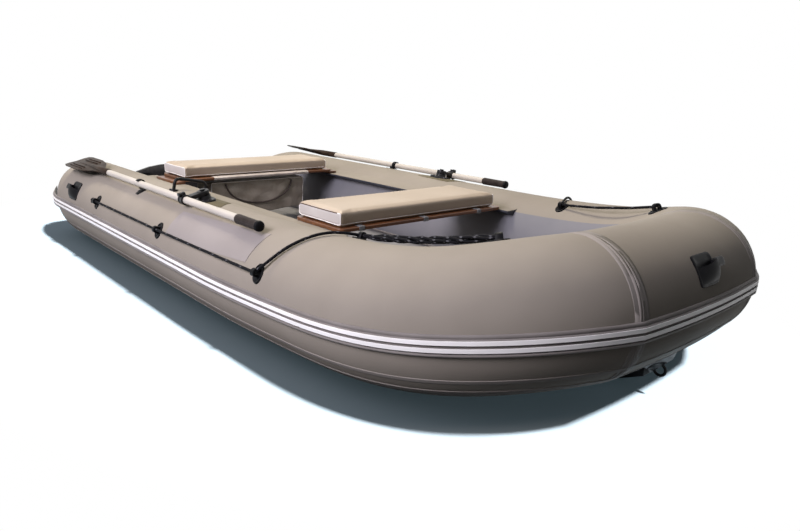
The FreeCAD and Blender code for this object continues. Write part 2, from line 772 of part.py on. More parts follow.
def route_rod(points, radius):
    """A rope's solid: every bend as wide as its two runs allow."""
    bends = []
    for before, corner, after in zip(points, points[1:], points[2:]):
        shorter = min((corner - before).Length, (after - corner).Length)
        back = (before - corner).normalize()
        ahead = (after - corner).normalize()
        half_turn = (math.pi - math.acos(max(-1.0, min(1.0, back.dot(ahead))))) / 2
        bends.append(0.45 * shorter / math.tan(half_turn))
    rod = bent_rod(points, radius, bends)
    return rod, bends


def line_fitting(x, angle, side, tubes):
    """An oval rubber base with an eye for the grab line."""
    base = Part.makeCylinder(FITTING_R, 22.0, vec(0, 0, -16.0))
    matrix = FreeCAD.Matrix()
    matrix.A11 = 0.74
    base = base.transformGeometry(matrix)
    boss = Part.makeCylinder(14.0, 20.0, vec(-10.0, 0, EYE_HEIGHT), vec(1, 0, 0))
    boss = boss.fuse(Part.makeBox(20.0, 28.0, EYE_HEIGHT, vec(-10.0, -14.0, 0)))
    eye = Part.makeCylinder(ROPE_R + 0.4, 30.0, vec(-15.0, 0, EYE_HEIGHT), vec(1, 0, 0))
    shape = placed(base.fuse(boss).cut(eye), tube_frame(x, angle, side))
    return largest(shape.cut(tubes))


def line_fittings(side, tubes):
    places = [(x, SIDE_ANGLE) for x in SIDE_FITTINGS] + list(TOP_FITTINGS)
    channel = route_rod(grab_line_points(side), ROPE_R + 0.4)[0]
    return Part.makeCompound([line_fitting(x, a, side, tubes + [channel]) for x, a in places])


def grab_line_points(side):
    """From the aft eye along the side, then up and over the tube to the first top eye."""
    aft, middle, fore = SIDE_FITTINGS
    spots = [(x, SIDE_ANGLE, EYE_HEIGHT) for x in (aft - 22.0, middle, fore)]
    spots += [(fore + 36.0, 36.0, 14.0), (fore + 78.0, 56.0, 13.0), (fore + 118.0, 78.0, 13.0)]
    spots += [(fore + 152.0, 98.0, 14.0), (TOP_FITTINGS[0][0], TOP_FITTINGS[0][1], EYE_HEIGHT)]
    return [skin_point(x, angle, side, lift) for x, angle, lift in spots]


def grab_line(side):
    points = grab_line_points(side)
    edges = [Part.LineSegment(a, b).toShape() for a, b in zip(points, points[1:])]
    rod, bends = route_rod(points, ROPE_R)
    length = sum(e.Length for e in edges)
    print("grab line runs", round(length), "radii", [round(b) for b in bends])
    return rod


def top_line(side, radius):
    """The taut line between the two top eyes; the spare rope hangs folded along it to starboard."""
    (x0, a0), (x1, a1) = TOP_FITTINGS
    first = skin_point(x0 + 34.0, a0, side, EYE_HEIGHT)
    last = skin_point(x1 - 34.0, a1, side, EYE_HEIGHT)
    points = []
    for share in (0.0, 0.25, 0.5, 0.75, 1.0):
        slack = 4 * TOP_SAG * share * (1 - share)
        points.append(first + (last - first) * share - vec(0, 0, slack))
    rod, bends = route_rod(points, radius)
    print("top line radii", [round(b) for b in bends])
    return rod


def air_valves(tubes):
    """Screw-in inflation valves on the tubes' inner sides."""
    out = []
    for _, side in SIDES:
        body = Part.makeCylinder(28.0, 14.0, vec(0, 0, -9.0))
        cap = Part.makeCylinder(17.0, 9.0, vec(0, 0, 4.0))
        out.append(placed(body.fuse(cap), tube_frame(560.0, 132.0, side)).cut(tubes).Solids[0])
    return Part.makeCompound(out)


def hull_pieces(tubes):
    """The tubes, floor and transom with everything that is glued to them."""
    write("tube_bow", bow_tube(TUBE_R))
    write("strake_bow", bow_strake())
    deck = floor_deck(tubes)
    write("floor_deck", deck)
    skin = bottom_skin(tubes, deck)
    write("bottom_skin", skin)
    strip = keel_strip(skin)
    write("keel_strip", strip)
    panel = transom_panel(tubes)
    write("transom", panel)
    write("transom_holders", Part.makeCompound([transom_holder(s, panel, tubes) for _, s in SIDES]))
    write("motor_pads", Part.makeCompound([motor_pad(True), motor_pad(False)]))
    write("drain_valve", drain_valve())
    write("stern_eyes", stern_eyes())
    write("bow_ring", bow_ring(tubes + [skin, strip]))
    write("bow_handle", bow_handle(bow_tube(TUBE_R + PATCH_THICK), tubes))
    write("air_valves", air_valves(tubes))


def seat_pieces(tubes):
    write("seat_rails", Part.makeCompound([seat_rail(s, tubes) for _, s in SIDES]))
    write("board_front", board(FRONT_BOARD, RAIL_TOP + 0.2))
    write("cushion_front", cushion(FRONT_CUSHION, RAIL_TOP + 0.2 + BOARD_THICK))
    write("seat_straps", seat_straps())
    write("seat_cleats", aft_cleats())
    write("board_aft", board(AFT_BOARD, RAIL_TOP + CLEAT_HEIGHT))
    write("cushion_aft", cushion(AFT_CUSHION, RAIL_TOP + CLEAT_HEIGHT + BOARD_THICK))
    write("seat_bag", seat_bag())
    write("bag_sleeve", bag_sleeve())


def side_pieces(tubes):
    """What each side has: its tube, cone, strake, oar, fittings and grab line."""
    pairs = {"stern_handles": [], "grab_bars": [], "oarlock_bases": [], "oar_clips": []}
    for name, side in SIDES:
        thick_tube = side_tube(side, TUBE_R + PATCH_THICK)
        thin_tube = side_tube(side, TUBE_R + THIN_PATCH)
        write("tube_" + name, side_tube(side, TUBE_R))
        write("cone_" + name, stern_cone(side))
        write("strake_" + name, side_strake(side))
        write("oarlock_swivel_" + name, oarlock_swivel(side))
        write("oar_shaft_" + name, oar_shaft(side))
        write("oar_grip_" + name, oar_grip(side))
        write("oar_blade_" + name, oar_blade(side))
        write("line_fittings_" + name, line_fittings(side, tubes))
        write("grab_line_" + name, grab_line(side))
        pairs["stern_handles"].append(stern_handle(side, thick_tube, tubes))
        if side < 0:
            pairs["grab_bars"].append(grab_bar(side, tubes + [seat_rail(side, tubes)]))
        pairs["oarlock_bases"].append(oarlock_base(side, thin_tube, tubes))
        pairs["oar_clips"].append(oar_clip(side, thick_tube, tubes))
    for name, pieces in pairs.items():
        write(name, Part.makeCompound(pieces))
    write("spare_rope", top_line(-1, 14.0))
    write("top_line_port", top_line(1, ROPE_R))


os.makedirs("parts", exist_ok=True)
skins = hull_clearance()
hull_pieces(skins)
seat_pieces(skins)
side_pieces(skins)
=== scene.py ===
import json
import bpy
from math import atan2, copysign, cos, degrees, floor, hypot, pi, radians, sin, sqrt
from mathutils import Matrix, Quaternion, Vector
from mathutils.geometry import interpolate_bezier

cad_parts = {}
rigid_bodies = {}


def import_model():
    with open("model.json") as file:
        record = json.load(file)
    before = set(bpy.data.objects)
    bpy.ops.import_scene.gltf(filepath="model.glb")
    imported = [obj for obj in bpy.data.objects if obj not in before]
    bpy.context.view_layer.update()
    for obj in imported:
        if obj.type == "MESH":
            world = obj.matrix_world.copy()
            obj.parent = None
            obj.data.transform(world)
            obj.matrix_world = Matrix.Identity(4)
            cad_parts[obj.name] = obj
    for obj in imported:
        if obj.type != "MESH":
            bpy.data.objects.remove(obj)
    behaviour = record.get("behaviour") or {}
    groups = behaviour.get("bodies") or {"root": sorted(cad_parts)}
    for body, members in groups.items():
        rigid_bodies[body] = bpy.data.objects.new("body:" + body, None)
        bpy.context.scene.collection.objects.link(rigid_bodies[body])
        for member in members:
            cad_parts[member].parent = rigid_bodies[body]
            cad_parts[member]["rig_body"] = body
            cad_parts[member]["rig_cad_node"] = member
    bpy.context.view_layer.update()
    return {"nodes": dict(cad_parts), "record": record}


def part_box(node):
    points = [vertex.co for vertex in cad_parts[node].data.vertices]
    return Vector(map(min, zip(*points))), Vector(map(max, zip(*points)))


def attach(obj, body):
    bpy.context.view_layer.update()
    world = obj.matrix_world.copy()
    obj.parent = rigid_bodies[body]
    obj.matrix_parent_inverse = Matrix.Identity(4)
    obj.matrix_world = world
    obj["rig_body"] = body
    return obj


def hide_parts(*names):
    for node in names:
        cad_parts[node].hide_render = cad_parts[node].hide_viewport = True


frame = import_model()

# The camera stands off the starboard bow at a standing person's waist, as in the photograph.
# Its place is given in millimetres from the tips of the stern cones, as all places here are.
stern_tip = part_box("cone_port")[0].x


def place(x, y, z):
    return Vector((stern_tip + x / 1000, y / 1000, z / 1000))


def put(name, data):
    """A new object in the scene."""
    obj = bpy.data.objects.new(name, data)
    bpy.context.scene.collection.objects.link(obj)
    return obj


heading, dip, roll = (radians(a) for a in (137.902, 15.583, 2.144))
flat = cos(dip)
forward = Vector((flat * cos(heading), flat * sin(heading), -sin(dip)))

camera = put("camera", bpy.data.cameras.new("camera"))
camera.location = place(4170.7, -1851.9, 910.1)
camera.rotation_mode = "QUATERNION"
camera.rotation_quaternion = forward.to_track_quat("-Z", "Y") @ Quaternion((0, 0, 1), roll)
camera.data.sensor_width = 36.0
camera.data.lens = 29.606
camera.data.clip_start = 0.05
bpy.context.scene.camera = camera

# The hull is three inflated tubes of coated fabric: two side tubes that rise and turn in at the
# front, and a bow tube mitred between them. Each is one long hose, cut at the slanting seam.
TUBE_R, HALF_SPAN = 0.210, 658.5
BEND_START = 1997.0
BEND_KNOTS = (
    ((1428, HALF_SPAN, 210), (1997, HALF_SPAN, 210), (2160.4, HALF_SPAN, 210)),
    ((2308.8, 649.3, 211.4), (2464, 644.5, 217), (2629.6, 639.4, 223.0)),
    ((2803.0, 639.2, 233.7), (2956, 578.5, 264.5), (3073.2, 532.1, 288.1)),
)
CONE_BASE = (289, HALF_SPAN, 210)
MITRE = (3222, 311, 323.5)
BOW_MIDDLE = (3236, 0, 323.5)
TURN_IN = radians(72.6)
BOW_SLANT = radians(5.155)
SIDES = (("starboard", -1), ("port", 1))


def mirrored(knot, side):
    return tuple(place(x, side * y, z) for x, y, z in knot)


def side_knots(side):
    """The middle line of a side tube: each knot between its two handles, run on past the seam."""
    x, y, z = MITRE
    ahead = (cos(TURN_IN), -sin(TURN_IN))
    back = (3178.4, 450.2, z)
    past = (x + 80 * ahead[0], y + 80 * ahead[1], z)
    end = (x + 240 * ahead[0], y + 240 * ahead[1], z)
    knots = [((0, HALF_SPAN, 210), CONE_BASE, (858, HALF_SPAN, 210))]
    knots += list(BEND_KNOTS) + [(back, MITRE, past), (past, end, end)]
    return [mirrored(knot, side) for knot in knots]


def bow_knots():
    """The bow tube's shallow arc with a straight run-on at both ends."""
    x, y, z = MITRE
    dx, dy = sin(BOW_SLANT), cos(BOW_SLANT)
    end = (x - 150 * dx, y + 150 * dy, z)
    near = (x - 50 * dx, y + 50 * dy, z)
    half = [(end, end, near), (near, MITRE, (x + 104 * dx, y - 104 * dy, z))]
    left = [mirrored(knot, 1) for knot in half]
    right = [tuple(reversed(mirrored(knot, -1))) for knot in reversed(half)]
    middle = mirrored(((BOW_MIDDLE[0], 104, z), BOW_MIDDLE, (BOW_MIDDLE[0], -104, z)), 1)
    return left + [middle] + right


def only(obj):
    """Makes one object the only selected and active one."""
    bpy.ops.object.select_all(action="DESELECT")
    obj.select_set(True)
    bpy.context.view_layer.objects.active = obj


def meshed(curve):
    """The mesh that a curve's hose makes."""
    only(curve)
    bpy.ops.object.convert(target="MESH")
    return bpy.context.view_layer.objects.active


def hose(name, knots, radius=0.0, profile=None, around=24):
    """A mesh swept along Bezier knots, round or with an outline of its own."""
    curve = bpy.data.curves.new(name, "CURVE")
    curve.dimensions = "3D"
    curve.twist_mode = "Z_UP"
    curve.resolution_u = 14
    spline = curve.splines.new("BEZIER")
    spline.bezier_points.add(len(knots) - 1)
    for point, (before, at, after) in zip(spline.bezier_points, knots):
        point.handle_left_type = point.handle_right_type = "FREE"
        point.co, point.handle_left, point.handle_right = at, before, after
    curve.bevel_depth = radius
    curve.bevel_resolution = around
    if profile:
        curve.bevel_mode = "OBJECT"
        curve.bevel_object = profile
    curve.use_fill_caps = True
    return meshed(put(name, curve))


def edited(obj, step, **settings):
    """Takes a whole piece through one step in edit mode."""
    only(obj)
    bpy.ops.object.mode_set(mode="EDIT")
    bpy.ops.mesh.select_all(action="SELECT")
    step(**settings)
    bpy.ops.object.mode_set(mode="OBJECT")


def cut_off(obj, point, normal):
    """Cuts away what lies beyond a plane and closes the cut."""
    edited(obj, bpy.ops.mesh.bisect, plane_co=point, plane_no=normal,
           use_fill=True, clear_outer=True)


def seam_plane(side):
    """A point and the forward normal of the slanting seam between a side tube and the bow tube."""
    x = cos(TURN_IN) + sin(BOW_SLANT)
    y = sin(TURN_IN) + cos(BOW_SLANT)
    return place(MITRE[0], side * MITRE[1], MITRE[2]), Vector((x, -side * y, 0)).normalized()


def side_hose(name, side, **form):
    obj = hose(name, side_knots(side), **form)
    cut_off(obj, *seam_plane(side))
    return obj


def bow_hose(name, **form):
    obj = hose(name, bow_knots(), **form)
    for _, side in SIDES:
        point, normal = seam_plane(side)
        cut_off(obj, point, -normal)
    return obj


def added(tree, kind, values=None, **fields):
    """A new node; a value that is another node's output is linked, any other is set."""
    made = tree.nodes.new("ShaderNode" + kind)
    for field, value in fields.items():
        setattr(made, field, value)
    for socket, value in (values or {}).items():
        if isinstance(value, bpy.types.NodeSocket):
            tree.links.new(value, made.inputs[socket])
        else:
            made.inputs[socket].default_value = value
    return made


def new_finish(name, colour, roughness, specular=0.5):
    """A material with its shader; returns the material, its node tree and the shader."""
    material = bpy.data.materials.new(name)
    material.use_nodes = True
    shader = material.node_tree.nodes["Principled BSDF"]
    shader.inputs["Base Color"].default_value = (*colour, 1)
    shader.inputs["Roughness"].default_value = roughness
    shader.inputs["Specular IOR Level"].default_value = specular
    return material, material.node_tree, shader


def noise(tree, scale, detail=3.0, stretch=(1, 1, 1)):
    """Noise on the piece's own coordinates, stretched along an axis if asked."""
    coordinates = added(tree, "TexCoord").outputs["Object"]
    mapping = added(tree, "Mapping", {"Vector": coordinates, "Scale": stretch})
    values = {"Vector": mapping.outputs["Vector"], "Scale": scale, "Detail": detail}
    return added(tree, "TexNoise", values).outputs["Fac"]


def scrim(tree, pitch):
    """The weave that shows faintly through a coating: two sets of ribs, pitch metres apart."""
    coordinates = added(tree, "TexCoord").outputs["Object"]
    values = {"Vector": coordinates, "Scale": 0.314 / pitch, "Distortion": 0.3}
    ribs = [added(tree, "TexWave", values, bands_direction=way).outputs["Fac"] for way in "XZ"]
    return added(tree, "Math", {0: ribs[0], 1: ribs[1]}, operation="MAXIMUM").outputs["Value"]


def tint(tree, shader, mask, dark, light, low=0.3, high=0.7):
    """Colours a surface between two shades by a mask."""
    ramp = added(tree, "ValToRGB", {"Fac": mask})
    for stop, position, shade in zip(ramp.color_ramp.elements, (low, high), (dark, light)):
        stop.position, stop.color = position, (*shade, 1)
    tree.links.new(ramp.outputs["Color"], shader.inputs["Base Color"])


def emboss(tree, shader, bumps):
    """Stacks bumps, each a noise's values or a weave's pitch, a strength and a depth in metres."""
    below = {}
    for pattern, strength, depth in bumps:
        height = noise(tree, *pattern) if isinstance(pattern, tuple) else scrim(tree, pattern)
        values = {"Height": height, "Strength": strength, "Distance": depth}
        below = {"Normal": added(tree, "Bump", {**values, **below}).outputs["Normal"]}
    tree.links.new(below["Normal"], shader.inputs["Normal"])


def mottled(name, patches, dark, light, roughness, specular=0.5, bumps=(), gloss=None):
    """A finish that wanders between two shades in patches, which are a noise's values.

    The bumps are those of emboss; gloss is a noise's scale and the roughnesses it runs between.
    """
    material, tree, shader = new_finish(name, light, roughness, specular)
    tint(tree, shader, noise(tree, *patches), dark, light)
    if gloss:
        mask = noise(tree, gloss[0])
        span = added(tree, "MapRange", {"Value": mask, "To Min": gloss[1], "To Max": gloss[2]})
        tree.links.new(span.outputs["Result"], shader.inputs["Roughness"])
    if bumps:
        emboss(tree, shader, bumps)
    return material


def tube_fabric(name, dark, light, roughness):
    """Coated boat fabric: mottled a little, with soft puckers and the scrim under the coating."""
    bumps = ((0.0021, 0.10, 0.0003), ((5.5, 2), 0.22, 0.006))
    gloss = (9.0, roughness - 0.05, roughness + 0.07)
    return mottled(name, (2.6, 4), dark, light, roughness, 0.012, bumps, gloss)


def settle(piece, slot, *materials, body="hull", replaces=()):
    """Gives a piece its materials, its body and the solids that it stands for; its slot is not
    used.
    """
    piece.data.materials.clear()
    for material in materials:
        piece.data.materials.append(material)
    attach(piece, body)
    if replaces:
        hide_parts(*replaces)
    return piece


def marked(piece, picked):
    """Gives the faces that a test picks the piece's second material."""
    for face in piece.data.polygons:
        face.material_index = 1 if picked(face) else 0


def shade_inner_wall(tube, side):
    """Paints the wall inside the boat, below the bench rails, darker and bluer: painted shade on
    the tubes' own fabric.
    """
    def inside(face):
        return -face.normal.x - face.normal.y * side > 0.3 and face.normal.z < 0.69
    marked(tube, inside)


tube_pvc = tube_fabric("tube_pvc", (0.262, 0.234, 0.196), (0.312, 0.280, 0.236), 0.46)
# The second tube finish is a darker, bluer copy of the fabric: painted shade for the inboard wall,
# not another fabric.
inner_wall_shade_pvc = tube_fabric("inner_wall_shade_pvc", (0.180, 0.180, 0.198), (0.240, 0.235, 0.245), 0.42)
for name, side in SIDES:
    tube = side_hose("side_tube_" + name, side, radius=TUBE_R, around=30)
    settle(tube, "tube_skin", tube_pvc, inner_wall_shade_pvc, replaces=["tube_" + name])
    shade_inner_wall(tube, side)
bow = bow_hose("bow_tube", radius=TUBE_R, around=30)
settle(bow, "tube_skin", tube_pvc, inner_wall_shade_pvc, replaces=["tube_bow"])
shade_inner_wall(bow, 0)

# The bow seams are covered by glued tape of the same fabric, three fingers across, that follows
# the slanting cut, and a second, narrower tape lies in the middle of it.
tape_pvc = tube_fabric("tape_pvc", (0.275, 0.248, 0.224), (0.325, 0.298, 0.270), 0.42)


def seam_band(name, side, half_width, lift, on_bow):
    """The stretch of a slightly fatter hose that lies close to a bow seam."""
    point, normal = seam_plane(side)
    fat = {"radius": TUBE_R + lift, "around": 30}
    band = bow_hose(name, **fat) if on_bow else side_hose(name, side, **fat)
    outward = normal if on_bow else -normal
    cut_off(band, point + outward * half_width, outward)
    return band


for name, side in SIDES:
    for half_width, lift in ((0.026, 0.0007), (0.011, 0.0013)):
        for on_bow in (False, True):
            end = "fore" if on_bow else "aft"
            label = "bow_seam_%s_%d_%s" % (name, round(half_width * 1000), end)
            seam = seam_band(label, side, half_width, lift, on_bow)
            settle(seam, "tube_skin", tape_pvc)


# Two tapes run the whole way along under the strake, where the bottom is glued to the tubes, and
# one along the inner side over the floor. Their outline is a thin arc that hugs the tube.
def arc_profile(side, start, end, low, high):
    """A closed thin arc round the tube's middle; angles from the outer side, up is positive."""
    steps = 10
    turns = [radians(start + (end - start) * n / steps) for n in range(steps + 1)]
    rim = [(cos(t) * high, sin(t) * high) for t in turns]
    rim += [(cos(t) * low, sin(t) * low) for t in reversed(turns)]
    return outline_curve([(-side * x, y) for x, y in rim])


def outline_curve(points):
    curve = bpy.data.curves.new("outline", "CURVE")
    spline = curve.splines.new("POLY")
    spline.points.add(len(points) - 1)
    for point, (x, y) in zip(spline.points, points):
        point.co = (x, y, 0, 1)
    spline.use_cyclic_u = True
    return put("outline", curve)


def righted(obj):
    """Merges doubled points and turns every face outwards."""
    edited(obj, bpy.ops.mesh.remove_doubles, threshold=0.00002)
    edited(obj, bpy.ops.mesh.normals_make_consistent, inside=False)
    return obj


TAPES = (("upper", -30.0, -34.0), ("lower", -45.0, -57.0), ("floor", -143.0, -151.0))
LENGTHS = SIDES + (("bow", None),)
for label, start, end in TAPES:
    for name, side in LENGTHS:
        outline = arc_profile(side or 1, start, end, TUBE_R - 0.002, TUBE_R + 0.0012)
        full_name = "tape_%s_%s" % (label, name)
        if side is None:
            tape = bow_hose(full_name, profile=outline)
        else:
            tape = side_hose(full_name, side, profile=outline)
        settle(righted(tape), "tube_skin", tape_pvc)
        bpy.data.objects.remove(outline)


# A bare panel of slightly greyer fabric is glued to each side tube under the oar. It starts as a
# flat grid, is wrapped round the tube by its skin's own formula and is given its thickness.
def tube_axis(x, side):
    """The middle of a side tube and its forward direction at a station in millimetres."""
    if x <= BEND_START:
        return place(x, side * HALF_SPAN, 210), Vector((1, 0, 0))
    knots = side_knots(side)
    for (_, a, after), (before, b, _) in zip(knots[1:], knots[2:]):
        if b.x >= place(x, 0, 0).x:
            break
    points = interpolate_bezier(a, after, before, b, 40)
    target = place(x, 0, 0).x
    for low, high in zip(points, points[1:]):
        if high.x >= target:
            break
    share = (target - low.x) / (high.x - low.x)
    return low.lerp(high, share), (high - low).normalized()


def on_tube(x, angle, side, lift=0.0):
    """A point on a side tube, lift metres off it; 0 degrees is the outer side, 90 the top."""
    middle, along = tube_axis(x, side)
    outboard = along.cross(Vector((0, 0, 1))).normalized() * -side
    upward = along.cross(outboard) * side
    turn = radians(angle)
    return middle + (outboard * cos(turn) + upward * sin(turn)) * (TUBE_R + lift)


def flat_grid(name, columns, rows):
    """The start of a sheet: a flat grid that runs from -1 to 1 both ways."""
    bpy.ops.object.select_all(action="DESELECT")
    bpy.ops.mesh.primitive_grid_add(x_subdivisions=columns, y_subdivisions=rows, size=2)
    sheet = bpy.context.view_layer.objects.active
    sheet.name = name
    return sheet


def applied(obj, kind, **settings):
    """Gives the active object a modifier with its settings, and applies it."""
    modifier = obj.modifiers.new(kind, kind)
    for setting, value in settings.items():
        setattr(modifier, setting, value)
    bpy.ops.object.modifier_apply(modifier=modifier.name)


def thicken(obj, thickness, offset=1.0):
    only(obj)
    applied(obj, "SOLIDIFY", thickness=thickness, offset=offset)
    bpy.ops.object.shade_smooth_by_angle(angle=radians(35))


def wrapped(name, side, corners, thickness):
    """A glued patch: its corners are (station, angle) pairs, aft low first and then forwards."""
    patch = flat_grid(name, 24, 10)
    for vertex in patch.data.vertices:
        u, v = (vertex.co.x + 1) / 2, (vertex.co.y + 1) / 2
        low = [corners[0][k] * (1 - u) + corners[1][k] * u for k in range(2)]
        high = [corners[3][k] * (1 - u) + corners[2][k] * u for k in range(2)]
        x, angle = (low[k] * (1 - v) + high[k] * v for k in range(2))
        vertex.co = on_tube(x, angle, side, 0.0002)
    thicken(patch, thickness)
    return righted(patch)


PANEL = ((1668, 23), (2276, 31), (2290, 66), (1690, 56))
panel_pvc = tube_fabric("panel_pvc", (0.262, 0.238, 0.226), (0.318, 0.290, 0.275), 0.44)
for name, side in SIDES:
    panel = wrapped("side_panel_" + name, side, PANEL, 0.0009)
    settle(panel, "tube_skin", panel_pvc)


# The stern cones are sewn from the tubes' fabric. Other pieces whose solids already have the real
# form are copied from them: doubles merged, edges softened and faces smoothed.
def dressed(node, piece_name, material, soften=0.0, angle=32):
    """A copy of a solid's mesh with softened edges, in the solid's place."""
    copy = frame["nodes"][node].copy()
    copy.data = copy.data.copy()
    copy.name = piece_name
    copy.parent = None
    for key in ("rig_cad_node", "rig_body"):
        del copy[key]
    bpy.context.scene.collection.objects.link(copy)
    copy.hide_render = copy.hide_viewport = False
    edited(righted(copy), bpy.ops.mesh.dissolve_limited, angle_limit=radians(0.6))
    if soften:
        applied(copy, "BEVEL", width=soften, segments=2, limit_method="ANGLE",
                angle_limit=radians(angle), use_clamp_overlap=True)
    bpy.ops.object.shade_smooth_by_angle(angle=radians(angle))
    row = next(r for r in frame["record"]["subparts"] if r["node"] == node)
    body = frame["nodes"][node]["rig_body"]
    return settle(copy, row["material_slot"], material, body=body, replaces=[node])


for name, side in SIDES:
    dressed("cone_" + name, "stern_cone_" + name, tube_pvc, angle=50)

# The rubbing strake is a moulded rubber band glued round the widest line, with a lip above and
# below and two cream stripes on its face. The stripes are strips of their own, let into the band.
SEAT = TUBE_R + 0.0003


def on_band(height, depth):
    """A height and a depth in millimetres off the tube, as outline coordinates."""
    h = height / 1000
    return sqrt(SEAT**2 - h**2) + depth / 1000, h


BAND = ((30, 0), (30, 1.5), (28.5, 3.8), (26, 4.8), (22, 4.8), (19.5, 3.4), (17.6, 8.0))
BAND += ((16.4, 9.0), (3.6, 9.0), (2.8, 5.0), (-2.8, 5.0), (-3.6, 9.0), (-16.4, 9.0))
BAND += ((-18, 8.0), (-19, 4.0), (-21, 8.6), (-23.5, 9.9), (-26, 9.6), (-28.5, 7.0))
BAND += ((-30, 1.5), (-30, 0), (0, 0))
STRIPES = (("upper", 4.0, 16.2), ("lower", -16.2, -4.0))

strake_grey = mottled("strake_grey", (7.0,), (0.185, 0.168, 0.157), (0.235, 0.215, 0.202),
                      0.46, 0.08, (((900.0, 2), 0.12, 0.0003),))
strake_cream = mottled("strake_cream", (14.0,), (0.90, 0.88, 0.85), (0.95, 0.94, 0.92),
                       0.36, 0.5, (((700.0, 2), 0.08, 0.0003),))


def cone_knots(side):
    """The strake's own line: as the side tube's, but drawn in round the stern cone."""
    knots = side_knots(side)
    tip = place(86, side * 609, 226)
    knots[0] = (place(200, side * 657, 210), knots[0][1], knots[0][2])
    return [(tip, tip, place(150, side * 640, 216))] + knots


def band_piece(name, points, side=None):
    """One length of the strake: an outline swept round a side or the bow."""
    outline = outline_curve([(-(side or 1) * x, y) for x, y in points])
    if side is None:
        piece = bow_hose(name, profile=outline)
    else:
        piece = hose(name, cone_knots(side), profile=outline)
        cut_off(piece, *seam_plane(side))
    bpy.data.objects.remove(outline)
    righted(piece)
    bpy.ops.object.shade_smooth_by_angle(angle=radians(35))
    return piece


for name, side in LENGTHS:
    band = band_piece("strake_band_" + name, [on_band(h, d) for h, d in BAND], side)
    settle(band, "strake_rubber", strake_grey, replaces=["strake_" + name])
    for label, low, high in STRIPES:
        edge = ((high, 8), (high, 9.2), (high - 0.7, 9.9), (low + 0.7, 9.9), (low, 9.2), (low, 8))
        points = [on_band(h, d) for h, d in edge]
        stripe = band_piece("strake_stripe_%s_%s" % (label, name), points, side)
        settle(stripe, "strake_rubber", strake_cream)

# The bottom is one dark coated sheet drawn over the keel, with a rubber wear strip glued along it
# and a saddle patch that carries the towing loop under the forefoot.
bottom_pvc = mottled("bottom_pvc", (3.5,), (0.040, 0.037, 0.039), (0.062, 0.057, 0.058),
                     0.45, 0.5, ((0.0025, 0.15, 0.0003), ((6.0,), 0.2, 0.006)))
black_rubber = mottled("black_rubber", (30.0,), (0.004, 0.004, 0.005), (0.008, 0.008, 0.009),
                       0.34, 0.07, (((1200.0, 2), 0.18, 0.0003),), (60.0, 0.30, 0.52))
dressed("bottom_skin", "bottom_sheet", bottom_pvc, angle=40)
dressed("keel_strip", "keel_guard", black_rubber, soften=0.001)
dressed("bow_ring", "towing_loop", black_rubber, angle=40)

# The floor is an inflated mat of blue-grey coated fabric, drawn in between its lengthwise
# chambers. It lies on the bottom sheet, held by the side tubes and the transom.
floor_pvc = mottled("floor_pvc", (3.0,), (0.155, 0.150, 0.155), (0.215, 0.208, 0.210),
                    0.5, 0.5, ((0.003, 0.25, 0.0004), ((14.0,), 0.3, 0.004)))
dressed("floor_deck", "floor_mat", floor_pvc, angle=24)

# The transom is a thick sheet of black painted plywood in two glued-on rubber holders, with a
# ribbed plastic plate on each face for the motor's clamps, a drain and two bolted towing eyes.
black_paint = mottled("black_paint", (4.0, 4, (1, 18, 18)), (0.015, 0.014, 0.014),
                      (0.032, 0.029, 0.028), 0.42, 0.5, (((10.0, 4, (1, 14, 14)), 0.25, 0.0008),))
black_nylon = mottled("black_nylon", (40.0,), (0.008, 0.008, 0.009), (0.017, 0.016, 0.017),
                      0.30, 0.16, (((1800.0, 2), 0.16, 0.0002),))
steel, tree, shader = new_finish("steel", (0.58, 0.57, 0.56), 0.26)
shader.inputs["Metallic"].default_value = 1.0
emboss(tree, shader, (((60.0, 3, (1, 1, 14)), 0.12, 0.0002),))
dressed("transom", "transom_board", black_paint, soften=0.004)
dressed("transom_holders", "transom_sockets", black_rubber, soften=0.003)
dressed("motor_pads", "clamp_plates", black_nylon, soften=0.0015)
dressed("drain_valve", "drain_housing", black_nylon, soften=0.0012)
dressed("stern_eyes", "towing_eyes", steel, angle=40)
dressed("air_valves", "valve_caps", black_nylon, soften=0.0012)

# The bench rails are strips of the tubes' fabric over a soft core; painted shade makes their sides
# and undersides dark blue. The two boards lie on them: varnished plywood, whose edge shows the
# layers, the aft one on packing strips.
rail_underside_shade = mottled("rail_underside_shade", (20.0,), (0.022, 0.024, 0.036), (0.046, 0.048, 0.062),
                     0.5, 0.5, ((0.002, 0.3, 0.0003),))
seat_ply, tree, shader = new_finish("seat_ply", (0.13, 0.045, 0.016), 0.34, 0.35)
GRAIN = (5.0, 6, (9, 1, 26))
PLY_DARK, PLY_LIGHT = (0.065, 0.022, 0.009), (0.20, 0.078, 0.027)
tint(tree, shader, noise(tree, *GRAIN), PLY_DARK, PLY_LIGHT, 0.25, 0.75)
shader.inputs["Coat Weight"].default_value = 0.25
shader.inputs["Coat Roughness"].default_value = 0.15
emboss(tree, shader, ((GRAIN, 0.15, 0.0004),))
rails = dressed("seat_rails", "bench_rails", tube_pvc, soften=0.004)
rails.data.materials.append(rail_underside_shade)
# Faces of the rails that don't face up take the dark blue finish: painted shade under the rails.
marked(rails, lambda face: face.normal.z < 0.35)
for end in ("front", "aft"):
    dressed("board_" + end, "bench_board_" + end, seat_ply, soften=0.0012)
dressed("seat_cleats", "bench_packers", seat_ply, soften=0.001)
